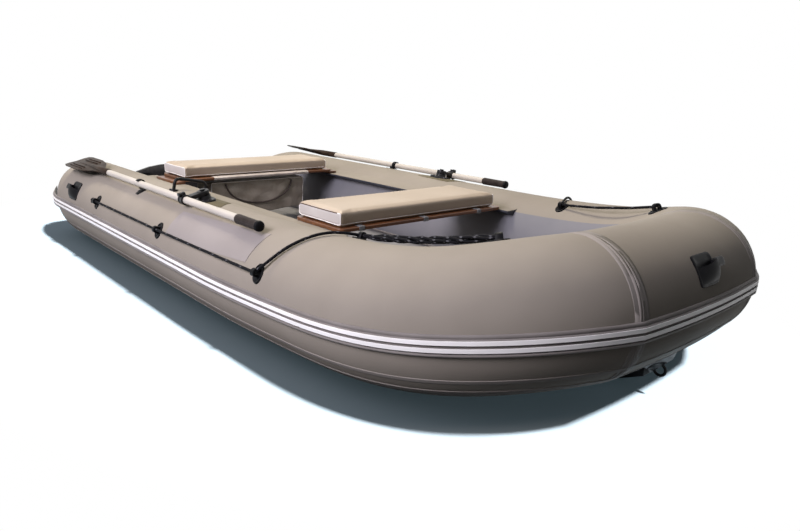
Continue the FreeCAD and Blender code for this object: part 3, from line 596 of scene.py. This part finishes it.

# Each bench cushion is a foam slab in a sewn vinyl cover: one long tan piece over the top and
# sides, a pale panel at each end, and white piping in the seams, with painted shade darkening its
# run along the top of the front one. The cover is blown up over its filling, then gathered a little
# at the corners.
tan_vinyl = mottled("tan_vinyl", (4.0,), (0.405, 0.328, 0.245), (0.470, 0.390, 0.303),
                    0.46, 0.3, (((520.0, 3), 0.22, 0.0004), ((22.0,), 0.3, 0.003)),
                    (16.0, 0.38, 0.52))
pale_vinyl = mottled("pale_vinyl", (9.0,), (0.487, 0.456, 0.435), (0.570, 0.543, 0.511),
                     0.42, 0.3, (((520.0, 3), 0.20, 0.0004),))
piping_vinyl = mottled("piping_vinyl", (60.0,), (0.78, 0.75, 0.70), (0.88, 0.86, 0.83),
                       0.35, 0.5, (((800.0, 2), 0.2, 0.0003),))
piping_top_shade = mottled("piping_top_shade", (400.0,), (0.06, 0.04, 0.03), (0.14, 0.10, 0.075),
                      0.6, 0.1, (((900.0, 2), 0.4, 0.0003),))
FILL_FRAMES, FILL_PRESSURE = 20, 4


def slab(name, low, high, corner):
    """A block with rounded edges between two corners."""
    middle, size = (low + high) / 2, high - low
    bpy.ops.object.select_all(action="DESELECT")
    bpy.ops.mesh.primitive_cube_add(size=1)
    block = bpy.context.view_layer.objects.active
    block.name = name
    for vertex in block.data.vertices:
        vertex.co = Vector(a * b for a, b in zip(vertex.co, size)) + middle
    applied(block, "BEVEL", width=corner, segments=4)
    return block


def blown_up(obj, voxel, travel):
    """Remeshes a piece, lets cloth pressure swell it, and caps how far any point has moved."""
    only(obj)
    applied(obj, "REMESH", mode="VOXEL", voxel_size=voxel)
    start = [v.co.copy() for v in obj.data.vertices]
    cloth = obj.modifiers.new("cover", "CLOTH")
    cloth.settings.use_pressure = True
    cloth.settings.uniform_pressure_force = FILL_PRESSURE
    cloth.settings.effector_weights.gravity = 0
    cloth.point_cache.frame_start, cloth.point_cache.frame_end = 1, FILL_FRAMES
    for number in range(1, FILL_FRAMES + 1):
        bpy.context.scene.frame_set(number)
    bpy.ops.object.modifier_apply(modifier="cover")
    bpy.context.scene.frame_set(1)
    for vertex, at in zip(obj.data.vertices, start):
        moved = vertex.co - at
        if moved.length > travel:
            vertex.co = at + moved.normalized() * travel
    applied(obj, "SUBSURF", levels=1, render_levels=1)
    bpy.ops.object.shade_smooth()


def gathered(obj, low, high):
    """Small folds that run in from the sewn corners, and a flat underside where it lies."""
    middle = (low.x + high.x) / 2
    for vertex in obj.data.vertices:
        x, y, z = vertex.co
        end = min(1.0, max(0.0, (abs(y) - (high.y - 0.085)) / 0.075))
        front = max(0.0, abs(x - middle) / ((high.x - low.x) / 2) - 0.86) / 0.14
        fold = sin(abs(y) * 520 + z * 260 + (0.8 if x > 0 else 2.1) * y) * 0.0013
        vertex.co.x += fold * end * front * (1 if x > middle else -1)
        vertex.co.z = max(vertex.co.z, low.z + 0.0006)


def smooth_line(name, points, steps, closed=False):
    """A curve that runs smoothly past the given points."""
    curve = bpy.data.curves.new(name, "CURVE")
    curve.dimensions = "3D"
    curve.resolution_u = steps
    spline = curve.splines.new("NURBS")
    spline.points.add(len(points) - 1)
    for knot, point in zip(spline.points, points):
        knot.co = (*point, 1)
    spline.use_cyclic_u, spline.use_endpoint_u = closed, not closed
    spline.order_u = 3
    return put(name, curve)


def piping(name, points, radius, material, slot, closed=False):
    """A thin sewn-in cord through the given points."""
    line = smooth_line(name, points, 3, closed)
    line.data.bevel_depth, line.data.bevel_resolution = radius, 3
    line.data.use_fill_caps = True
    return settle(meshed(line), slot, material)


def squared(turn, power):
    """The cosine and sine of an angle, pushed out towards a square for a power below one."""
    c, s = cos(turn), sin(turn)
    return copysign(abs(c) ** power, c), copysign(abs(s) ** power, s)


def seam_round(cover, y, low, high, inset):
    """Points of the seam round a cushion's end, laid on the cover itself."""
    middle, half = (low + high) / 2, (high - low) / 2 - Vector((0.0024, 0, 0.0012))
    points, steps = [], 72
    for n in range(steps):
        c, s = squared(2 * pi * n / steps, 0.22)
        near = Vector((middle.x + c * half.x, y, middle.z + s * half.z))
        _, at, normal, _ = cover.closest_point_on_mesh(near)
        points.append(at + normal * inset)
    return points


for end in ("front", "aft"):
    low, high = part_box("cushion_" + end)
    low, high = low - Vector((0.010, 0.026, 0)), high + Vector((0.017, 0.006, 0.012))
    swell = Vector((0.006, 0.006, 0.004))
    cover = slab("cushion_cover_" + end, low + swell, high - swell, 0.009)
    blown_up(cover, voxel=0.006, travel=0.0075)
    gathered(cover, low, high)
    settle(cover, "cushion_vinyl", tan_vinyl, pale_vinyl, replaces=["cushion_" + end])
    panel_start = high.y - 0.02
    marked(cover, lambda f: abs(f.normal.y) > 0.72 and abs(f.center.y) > panel_start)
    for name, side in SIDES:
        y = high.y - 0.006 if side == 1 else low.y + 0.006
        points = seam_round(cover, y, low, high, 0.0002)
        label = "cushion_piping_%s_%s" % (end, name)
        cord = piping(label, points, 0.0023, piping_vinyl, "cushion_vinyl", closed=True)
        # The piping's top run on the front cushion takes the dark finish: painted shade along the
        # seam, not dark thread.
        cord.data.materials.append(piping_top_shade)
        marked(cord, lambda f: end == "front" and f.center.z > high.z - 0.016
               and f.center.x < high.x - 0.03)
    hem = []
    for n in range(61):
        y = low.y + 0.012 + (high.y - low.y - 0.024) * n / 60
        hem.append(cover.closest_point_on_mesh(Vector((high.x + 0.004, y, low.z + 0.004)))[1])
    piping("cushion_hem_" + end, hem, 0.0018, piping_vinyl, "cushion_vinyl")

# Loops of woven grey webbing tie the front cushion to its board. They lie flat round the board
# and are copied from the solids, with their edges softened.
webbing = mottled("webbing", (90.0,), (0.16, 0.16, 0.165), (0.26, 0.26, 0.265),
                  0.75, 0.5, ((0.0016, 0.6, 0.0005),))
dressed("seat_straps", "seat_webbing", webbing, soften=0.0006)

# The bag hangs under the aft bench: a soft box of coated fabric with white piping, a half-round
# flap bound in dark tape, and a band that slips over the bench board's front edge.
bag_cloth = mottled("bag_cloth", (9.0, 4), (0.26, 0.222, 0.175), (0.38, 0.33, 0.27),
                    0.40, 0.5, ((0.0016, 0.3, 0.0003), ((20.0, 4), 0.75, 0.011)),
                    (12.0, 0.28, 0.50))
sleeve_cloth = mottled("sleeve_cloth", (14.0, 4), (0.40, 0.35, 0.31), (0.56, 0.50, 0.455),
                       0.42, 0.5, ((0.0016, 0.3, 0.0003), ((34.0, 4), 0.5, 0.005)))
dark_tape = mottled("dark_tape", (50.0,), (0.034, 0.023, 0.019), (0.062, 0.042, 0.034),
                    0.5, 0.5, ((0.001, 0.4, 0.0003),))
bag_low, bag_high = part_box("seat_bag")


def bag_front(y, z):
    """How far forward the slack front panel stands at a place."""
    u = (y - bag_low.y) / (bag_high.y - bag_low.y)
    v = (z - bag_low.z) / (bag_high.z - bag_low.z)
    swell = sin(pi * min(1, max(0, u)))
    belly = 0.010 * swell * sin(pi * min(1, max(0, 1 - v)) * 0.8)
    crease = 0.0035 * sin(19 * u + 7 * v) * sin(11 * v - 5 * u + 0.6)
    return bag_high.x - 0.012 + belly + crease


bpy.ops.object.select_all(action="DESELECT")
bpy.ops.mesh.primitive_cube_add(size=1)
bag = bpy.context.view_layer.objects.active
bag.name = "bench_bag"
edited(bag, bpy.ops.mesh.subdivide, number_cuts=27)
for vertex in bag.data.vertices:
    u, v, w = (c + 0.5 for c in vertex.co)
    z = bag_low.z + w * (bag_high.z - bag_low.z - 0.004) + 0.006 * (1 - w) * sin(9 * v)
    y = bag_low.y + 0.004 + v * (bag_high.y - bag_low.y - 0.008)
    back = bag_low.x + 0.024 - 0.016 * sin(pi * w)
    bulge = 0.007 * (v - 0.5) * sin(pi * w)
    vertex.co = (back + u * (bag_front(y, z) - back), y + bulge, z)
applied(bag, "BEVEL", width=0.006, segments=3, limit_method="ANGLE")
bpy.ops.object.shade_smooth()
settle(bag, "bag_fabric", bag_cloth, replaces=["seat_bag"])
edge = [(bag_high.y - 0.006, bag_low.z + 0.012 + 0.158 * n / 8) for n in range(9)]
edge += [(bag_high.y - 0.012 - 0.558 * n / 16, bag_high.z - 0.006) for n in range(17)]
edge += [(bag_low.y + 0.006, bag_high.z - 0.010 - 0.158 * n / 8) for n in range(9)]
rim = [(bag_front(y, z) - 0.001, y, z) for y, z in edge]
piping("bag_piping", rim, 0.0022, piping_vinyl, "bag_fabric")

FLAP_MIDDLE, FLAP_HALF, FLAP_DROP = -0.012, 0.203, 0.112


def on_flap(s, t, lift):
    y = FLAP_MIDDLE + FLAP_HALF * s
    z = bag_high.z - 0.016 - FLAP_DROP * sqrt(max(0.0, 1 - s * s)) * t
    slack = 0.004 * sin(8 * s + 3 * t) * sin(pi * t) + 0.003 * t
    return Vector((bag_front(y, z) + lift + slack, y, z))


flap = flat_grid("bag_flap", 40, 14)
for vertex in flap.data.vertices:
    vertex.co = on_flap(vertex.co.x, (vertex.co.y + 1) / 2, 0.003)
thicken(flap, 0.0022)
settle(righted(flap), "bag_fabric", bag_cloth)
arc = [on_flap(-cos(pi * n / 30), 1.0, 0.0045) for n in range(31)]
piping("flap_binding", arc, 0.0048, dark_tape, "bag_fabric")

band_low, band_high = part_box("bag_sleeve")
band = flat_grid("bag_band", 72, 26)
wrap = ((band_low.x, 0.0008), (band_high.x - 0.006, 0.0008), (band_high.x, 0.004))
wrap += ((band_high.x, 0.012), (band_high.x - 0.006, 0.0162), (band_low.x, 0.0166))
board_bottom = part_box("board_aft")[0].z - 0.0014
for vertex in band.data.vertices:
    s, t = (vertex.co.x + 1) / 2, (vertex.co.y + 1) / 2 * (len(wrap) - 1)
    k = min(len(wrap) - 2, int(t))
    (xa, za), (xb, zb) = wrap[k], wrap[k + 1]
    y = band_low.y + s * (band_high.y - band_low.y)
    pucker = 0.0009 * sin(170 * y + 3 * t) * sin(61 * y)
    x = xa + (xb - xa) * (t - k) + abs(pucker) * 1.6
    vertex.co = (x, y, board_bottom + za + (zb - za) * (t - k) + pucker * (t - 2.5) / 2.5)
thicken(band, 0.0011)
settle(righted(band), "bag_fabric", sleeve_cloth, replaces=["bag_sleeve"])

# Each oar lies in a rubber clip and a nylon oarlock that turns on a pin: an ivory painted tube
# with a moulded brown blade and a dark rubber grip. The oarlocks' patches are of boat fabric.
ivory_paint = mottled("ivory_paint", (12.0, 3, (0.3, 1, 1)), (0.45, 0.415, 0.36),
                      (0.54, 0.50, 0.44), 0.34, 0.4, (((300.0, 2), 0.05, 0.0003),))
grip_rubber = mottled("grip_rubber", (30.0,), (0.022, 0.017, 0.015), (0.040, 0.032, 0.029),
                      0.46, 0.05, (((900.0, 2), 0.3, 0.0004),))
blade_brown = mottled("blade_brown", (20.0,), (0.020, 0.013, 0.009), (0.044, 0.029, 0.020),
                      0.34, 0.03, (((40.0,), 0.15, 0.002),))
lock_patch = tube_fabric("lock_patch", (0.105, 0.090, 0.055), (0.150, 0.130, 0.085), 0.40)
for name, side in SIDES:
    dressed("oar_shaft_" + name, "oar_tube_" + name, ivory_paint, angle=40)
    handle = dressed("oar_grip_" + name, "oar_handle_" + name, grip_rubber, soften=0.0008)
    handle.data.materials.append(black_rubber)
    tip = max(vertex.co.x for vertex in handle.data.vertices)
    marked(handle, lambda face: face.center.x > tip - 0.012)
    dressed("oar_blade_" + name, "oar_paddle_" + name, blade_brown, soften=0.0012)
    dressed("oarlock_swivel_" + name, "oarlock_collar_" + name, black_nylon, soften=0.0012)
bases = dressed("oarlock_bases", "oarlock_blocks", black_nylon, soften=0.0012)
bases.data.materials.append(lock_patch)


def off_middle(point):
    """How far outboard of and above a side tube's middle line a point lies, in metres."""
    return abs(point.y) - HALF_SPAN / 1000, point.z - TUBE_R


marked(bases, lambda face: hypot(*off_middle(face.center)) - TUBE_R < 0.0021)
rests = dressed("oar_clips", "oar_rests", black_rubber, soften=0.0012)
# The clips' thin feet end sooner on the outboard side: half as far below this angle, in radians.
FOOT_END = 1.10
for vertex in rests.data.vertices:
    across, up = off_middle(vertex.co)
    angle, reach = atan2(up, across), hypot(across, up)
    if reach < TUBE_R + 0.006 and angle < FOOT_END:
        angle = FOOT_END + (angle - FOOT_END) * 0.5
        out = HALF_SPAN / 1000 + reach * cos(angle)
        vertex.co.y = copysign(out, vertex.co.y)
        vertex.co.z = TUBE_R + reach * sin(angle)
dressed("grab_bars", "grab_rods", black_nylon, angle=40)


# Ten rubber eyes carry the grab line. Each is an oval dish with a raised rim, glued flat on the
# tube, and a moulded arch that stands across it.
def on_skin(x, angle, side):
    """A small frame on a side tube: u runs forward, v round the tube and w out of it, in mm."""
    def spot(u, v, w):
        return on_tube(x + u, angle + degrees(v / (TUBE_R * 1000)), side, w / 1000)
    return spot


def built(name, points, faces):
    """A piece straight from its points and faces."""
    mesh = bpy.data.meshes.new(name)
    mesh.from_pydata(points, [], faces)
    return put(name, mesh)


def walls(points, count):
    """The faces between neighbouring rings of count points each."""
    faces = []
    for start in range(0, len(points) - count, count):
        for m in range(count):
            a, b = start + m, start + (m + 1) % count
            faces.append((a, b, b + count, a + count))
    return faces


def ringed(name, points, count):
    """A piece closed at both ends, out of rings of count points each."""
    last = len(points) - count
    ends = [tuple(reversed(range(count))), tuple(range(last, last + count))]
    return built(name, points, walls(points, count) + ends)


def oval(half_u, half_v, power=1.0, count=48):
    shape = [squared(2 * pi * n / count, power) for n in range(count)]
    return [(u * half_u, v * half_v) for u, v in shape]


def moulded(name, spot, outline, profile):
    """A low moulding: an outline drawn in or out and lifted step by step."""
    points = [spot(u * scale, v * scale, w) for scale, w in profile for u, v in outline]
    return ringed(name, points, len(outline))


def arch(name, spot, outer, inner, rise, half_length, foot):
    """A solid hoop over the dish: its outline in the v, w plane is drawn out along u."""
    turns = [pi * n / 14 for n in range(15)]
    rim = [(outer + foot, 1.0), (outer + 1, 4.0)]
    rim += [(outer * cos(t), rise + outer * sin(t)) for t in turns]
    rim += [(-outer - 1, 4.0), (-outer - foot, 1.0)]
    hole = [(-inner * cos(t), rise + inner * sin(t)) for t in turns]
    loop = rim + [(-inner, 1.0)] + hole + [(inner, 1.0)]
    count, points = len(loop), []
    for level, draw in ((-1.0, 0.94), (-0.86, 1.0), (0.86, 1.0), (1.0, 0.94)):
        points += [spot(half_length * level, v * draw, 1 + (w - 1) * draw) for v, w in loop]
    faces = walls(points, count)
    for base in (0, len(points) - count):
        faces += [(base, base + 1, base + count - 1), (base + 17, base + 18, base + 19)]
        for m in range(1, 17):
            faces.append((base + m, base + m + 1, base + count - m - 1, base + count - m))
    return built(name, points, faces)


def joined(name, pieces, angle=40):
    """One piece out of several, with its faces turned outwards and smoothed by angle."""
    bpy.ops.object.select_all(action="DESELECT")
    for piece in pieces:
        piece.select_set(True)
    bpy.context.view_layer.objects.active = pieces[0]
    bpy.ops.object.join()
    piece = bpy.context.view_layer.objects.active
    piece.name = name
    righted(piece)
    bpy.ops.object.shade_smooth_by_angle(angle=radians(angle))
    return piece


DISH = ((1.0, -3.0), (1.0, 1.6), (0.97, 3.4), (0.92, 4.3), (0.85, 4.3), (0.79, 3.2))
DISH += ((0.74, 2.0), (0.3, 2.0))
LINE_ANGLE = 25.5
TOP_AFT, TOP_FORE = (2552, 115.0), (3110, 114.0)
EYE_SPOTS = ((875, LINE_ANGLE), (1608, LINE_ANGLE), (2370, LINE_ANGLE), TOP_AFT, TOP_FORE)
for name, side in SIDES:
    parts = []
    for x, angle in EYE_SPOTS:
        spot = on_skin(x, angle, side)
        parts.append(moulded("eye_dish", spot, oval(25.5, 34.5), DISH))
        parts.append(arch("eye_arch", spot, outer=13, inner=6.2, rise=15, half_length=9, foot=9))
    eyes = joined("line_eyes_" + name, parts)
    settle(eyes, "black_rubber", black_rubber, replaces=["line_fittings_" + name])

# The carrying handles, one on the bow and one on each side of the stern, are rubber mouldings: a
# square foot, a hood open at the top for the fingers and a flat grip that runs out at one end.
BOW_HANDLE_ANGLE, STERN_HANDLE_X, STERN_HANDLE_ANGLE = 31.0, 509, 27.0


def on_bow(u, v, w):
    """The same small frame on the bow tube's front: u runs to port and v upwards."""
    turn = radians(BOW_HANDLE_ANGLE) + v / (TUBE_R * 1000)
    reach = TUBE_R * 1000 + w
    x = BOW_MIDDLE[0] - 14 * (u / MITRE[1]) ** 2
    return place(x + reach * cos(turn), u, BOW_MIDDLE[2] + reach * sin(turn))


def hood(spot, sense):
    """A moulded shell that swells from the foot's lower edge to a rim, highest beside the grip."""
    shell = flat_grid("hood", 28, 18)
    for vertex in shell.data.vertices:
        s, t = vertex.co.x, (vertex.co.y + 1) / 2
        rise = sin(pi / 2 * t) ** 0.6
        climb = sin(pi / 2 * min(1.0, (s + 1) / 1.5)) ** 0.9
        close = max(0.0, 1 - max(0.0, (s - 0.45) / 0.55) ** 2.6) ** 0.5
        w = 2.2 + 25 * rise * climb * close
        v = -42 + (50 + 10 * (0.5 * s + 0.3) ** 2 + 8 * max(0.0, s)) * t
        vertex.co = spot(sense * (s * 50), v, w)
    thicken(shell, 0.0034, 0.0)
    return shell


def grip(spot, sense, start, end, height):
    """The flat grip: a rounded bar whose near end melts into the hood's rim."""
    points, count, steps = [], 16, 14
    for n in range(steps + 1):
        share = n / steps
        u = start + (end - start) * share
        close = 1.0 if 0 < n < steps else 0.82
        w = height - 4.0 * share - 9.0 * max(0.0, 0.25 - share) * 4 * 0.4
        for m in range(count):
            turn = 2 * pi * m / count
            wide, thick = squared(turn, 0.55)[0], squared(turn, 0.7)[1]
            points.append(spot(sense * u, 8 + wide * 13.0 * close, w + thick * 5.4 * close))
    return ringed("grip", points, count)


FOOT = ((1.0, -2.5), (1.0, 2.0), (0.975, 3.6), (0.93, 4.2), (0.84, 4.2), (0.80, 3.0), (0.4, 3.0))


def shifted(spot, by):
    """The same small frame, moved along u."""
    return lambda u, v, w: spot(u + by, v, w)


stern_spots = [on_skin(STERN_HANDLE_X, STERN_HANDLE_ANGLE, side) for _, side in SIDES]
HANDLES = (("bow_handle", "bow_carry_handle", [on_bow], 1, -4),
           ("stern_handles", "stern_carry_handles", stern_spots, -1, 8))
for node, label, spots, sense, shift in HANDLES:
    parts = []
    for spot in spots:
        moved = shifted(spot, shift)
        parts.append(moulded("foot", moved, oval(56, 48, 2 / 9, 72), FOOT))
        parts += [hood(moved, sense), grip(moved, sense, start=10, end=76, height=24)]
    settle(joined(label, parts), "black_rubber", black_rubber, replaces=[node])

# The grab line is a braided black cord with a few grey flecks. It runs taut through the rubber eyes
# along the side and up over the tube; to port one run goes on between the two top eyes, and to
# starboard a spare length lies folded and twisted there. A stopper knot ends it at the stern.
rope_black = mottled("rope_black", (300.0,), (0.005, 0.005, 0.006), (0.012, 0.012, 0.014),
                     0.6, 0.04)
rope_fleck = mottled("rope_fleck", (120.0,), (0.05, 0.05, 0.055), (0.12, 0.12, 0.13),
                     0.6, 0.04)


def route(points):
    """The smooth line that a rope takes past its points."""
    line = smooth_line("route", points, 32)
    bpy.context.view_layer.update()
    mesh = bpy.data.meshes.new_from_object(line)
    bpy.data.objects.remove(line)
    return [vertex.co.copy() for vertex in mesh.vertices]


def turned_frames(line):
    """Each point of a line with two directions across it that don't twist along the way."""
    out, last = Vector((0, 0, 1)), len(line) - 1
    for n, middle in enumerate(line):
        ahead = (line[min(n + 1, last)] - line[max(n - 1, 0)]).normalized()
        out = (out - ahead * out.dot(ahead)).normalized()
        yield n, middle, out, ahead.cross(out)


def braided(name, line, radius, share_grey):
    """A braided cord along a line: crossing strands stand out on its skin, and some are grey."""
    spacing, around, lay = 0.0017, 24, 2 * pi / 0.012
    along = [0.0]
    for a, b in zip(line, line[1:]):
        along.append(along[-1] + (b - a).length)
    rings, k, middles = int(along[-1] / spacing), 0, []
    for n in range(rings + 1):
        s = along[-1] * n / rings
        while k < len(line) - 2 and along[k + 1] < s:
            k += 1
        middles.append(line[k].lerp(line[k + 1], (s - along[k]) / (along[k + 1] - along[k])))
    points, flecked = [], []
    for n, middle, out, across in turned_frames(middles):
        turn = lay * along[-1] * n / rings
        for m in range(around):
            angle = 2 * pi * m / around
            relief = 1 + 0.06 * cos(4 * angle + turn) * cos(4 * angle - turn)
            outward = out * cos(angle) + across * sin(angle)
            points.append(middle + outward * radius * relief)
            one = floor((4 * angle + turn) / (2 * pi))
            two = floor((4 * angle - turn) / (2 * pi))
            flecked.append(one % share_grey == 0 and (one + two) % 2 == 0)
    piece = ringed(name, points, around)
    settle(piece, "rope", rope_black, rope_fleck)
    walled = rings * around
    marked(piece, lambda face: face.index < walled and flecked[face.index])
    only(piece)
    bpy.ops.object.shade_smooth()
    return piece


LINE_RADIUS = 0.005
LINE_SPOTS = tuple((x, LINE_ANGLE, 15) for x in (853, 1548, 1668, 2320, 2372))
LINE_SPOTS += ((2406, 36, 14), (2448, 56, 13), (2488, 78, 13), (2522, 98, 14), (*TOP_AFT, 15))
for name, side in SIDES:
    line = route([on_tube(x, angle, side, lift / 1000) for x, angle, lift in LINE_SPOTS])
    cord = braided("side_line_" + name, line, LINE_RADIUS, 8)
    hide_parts("grab_line_" + name)
    spot, bends = on_skin(845, LINE_ANGLE, side), []
    for n in range(72):
        t = 2 * pi * n / 72
        u, v = sin(t) + 2 * sin(2 * t), cos(t) - 2 * cos(2 * t)
        bends.append(spot(3.3 * u, 3.3 * v, 14 - 4.4 * sin(3 * t)))
    braided("stopper_knot_" + name, bends, 0.0046, 8)


def top_spots(side, slack):
    """Places of the line between the two top eyes; it hangs nearly straight over the tube."""
    eye_height, spots = 0.015, []
    first = on_tube(TOP_AFT[0] + 4, TOP_AFT[1], side, eye_height)
    last = on_tube(TOP_FORE[0] - 4, TOP_FORE[1], side, eye_height)
    for n in range(9):
        share = n / 8
        ripple = 0.12 * sin(19 * share) * sin(pi * share)
        down = slack * (4 * share * (1 - share) + ripple)
        spots.append(first.lerp(last, share) - Vector((0, 0, down)))
    return spots


cord = braided("top_cord_port", route(top_spots(1, 0.009)), LINE_RADIUS, 8)
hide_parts("top_line_port")
bundle = route(top_spots(-1, 0.012))
for strand in range(4):
    points = []
    for n, middle, out, across in turned_frames(bundle):
        share = n / (len(bundle) - 1)
        turn = 2 * pi * (strand / 4 + 1.6 * share) + 0.35 * sin(23 * share + strand)
        reach = 0.0078 * min(1.0, 9 * share + 0.25, 9 * (1 - share) + 0.25)
        points.append(middle + (out * cos(turn) + across * sin(turn)) * reach)
    cord = braided("spare_strand_%d" % (strand + 1), points, 0.0048, 4)
    if strand == 0:
        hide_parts("spare_rope")

# The studio: a pale floor that keeps only the boat's own shadow, a white surround for the camera
# and for reflections, a warm key light overhead and a soft cool fill from the starboard side,
# which reach the boat alone, and a sun that reaches the floor alone and draws the shadow there.
def shows_white(tree):
    """One for the rays that see the white surround: seen, mirrored and passed-through ones."""
    rays = added(tree, "LightPath").outputs
    values = {0: rays["Is Camera Ray"], 1: rays["Is Transmission Ray"]}
    first = added(tree, "Math", values, operation="MAXIMUM").outputs["Value"]
    values = {0: first, 1: rays["Is Glossy Ray"]}
    return added(tree, "Math", values, operation="MAXIMUM").outputs["Value"]


def blend(tree, share, first, second):
    values = {"Fac": share, 1: first, 2: second}
    return added(tree, "MixShader", values).outputs["Shader"]


floor_paint = bpy.data.materials.new("floor_paint")
floor_paint.use_nodes = True
tree = floor_paint.node_tree
tree.nodes.clear()
diffuse = added(tree, "BsdfDiffuse", {"Color": (0.36, 0.43, 0.48, 1)}).outputs["BSDF"]
lift = added(tree, "Emission", {"Color": (0.02, 0.03, 0.035, 1)}).outputs["Emission"]
lifted = added(tree, "AddShader", {0: diffuse, 1: lift}).outputs["Shader"]
glow = added(tree, "Emission").outputs["Emission"]
dark = added(tree, "BsdfDiffuse", {"Color": (0.010, 0.010, 0.012, 1)}).outputs["BSDF"]
coordinates = added(tree, "TexCoord").outputs["Object"]
values = {"Vector": coordinates, "Location": (0.2, 0, 0), "Scale": (0.44, 0.66, 1)}
squeezed = added(tree, "Mapping", values).outputs["Vector"]
distance = added(tree, "VectorMath", {0: squeezed}, operation="LENGTH").outputs["Value"]
values = {"Value": distance, "From Min": 0.88, "From Max": 1.15}
fade = added(tree, "MapRange", values, interpolation_type="SMOOTHSTEP").outputs["Result"]
seen = blend(tree, shows_white(tree), dark, blend(tree, fade, lifted, glow))
added(tree, "OutputMaterial", {"Surface": seen})
bpy.ops.mesh.primitive_plane_add(size=60)
ground = bpy.context.view_layer.objects.active
ground.name = "studio_floor"
ground.data.materials.append(floor_paint)

world = bpy.data.worlds.new("surround")
bpy.context.scene.world = world
world.use_nodes = True
tree = world.node_tree
tree.nodes.clear()
facing = added(tree, "TexCoord").outputs["Generated"]
values = {0: facing, 1: (-0.50, -0.60, 0.62)}
toward = added(tree, "VectorMath", values, operation="DOT_PRODUCT").outputs["Value"]
values = {"Value": toward, "From Min": -0.15, "From Max": 1.0, "To Min": 0.01, "To Max": 0.50}
strength = added(tree, "MapRange", values).outputs["Result"]
soft = added(tree, "Background", {"Color": (0.93, 0.94, 1, 1), "Strength": strength})
white = added(tree, "Background", {"Color": (1, 1, 1, 1)})
both = blend(tree, shows_white(tree), soft.outputs["Background"], white.outputs["Background"])
added(tree, "OutputWorld", {"Surface": both})

LAMPS = (("key", "AREA", (-1.75, 0.5, 4.9), 1.2, 222.0, (1, 0.92, 0.75)),)
LAMPS += (("side_fill", "AREA", (0.3, -4.1, 2.9), 2.2, 240.0, (0.94, 0.89, 1)),)
LAMPS += (("floor_sun", "SUN", (3.84, 1.02, 6.2), 0.0, 10.0, (1, 1, 1)),)
for name, kind, at, size, power, colour in LAMPS:
    lamp = put(name, bpy.data.lights.new(name, kind))
    lamp.data.energy, lamp.data.color = power, colour
    if kind == "AREA":
        lamp.data.size = size
    else:
        lamp.data.angle = radians(5)
    lamp.location = at
    lamp.rotation_mode = "QUATERNION"
    lamp.rotation_quaternion = (Vector((0, 0, 0.2)) - Vector(at)).to_track_quat("-Z", "Y")
    reached = bpy.data.collections.new(name + "_reaches")
    reached.objects.link(ground)
    lamp.light_linking.receiver_collection = reached
    state = "EXCLUDE" if kind == "AREA" else "INCLUDE"
    reached.collection_objects[0].light_linking.link_state = state
bpy.context.scene.view_settings.view_transform = "Standard"
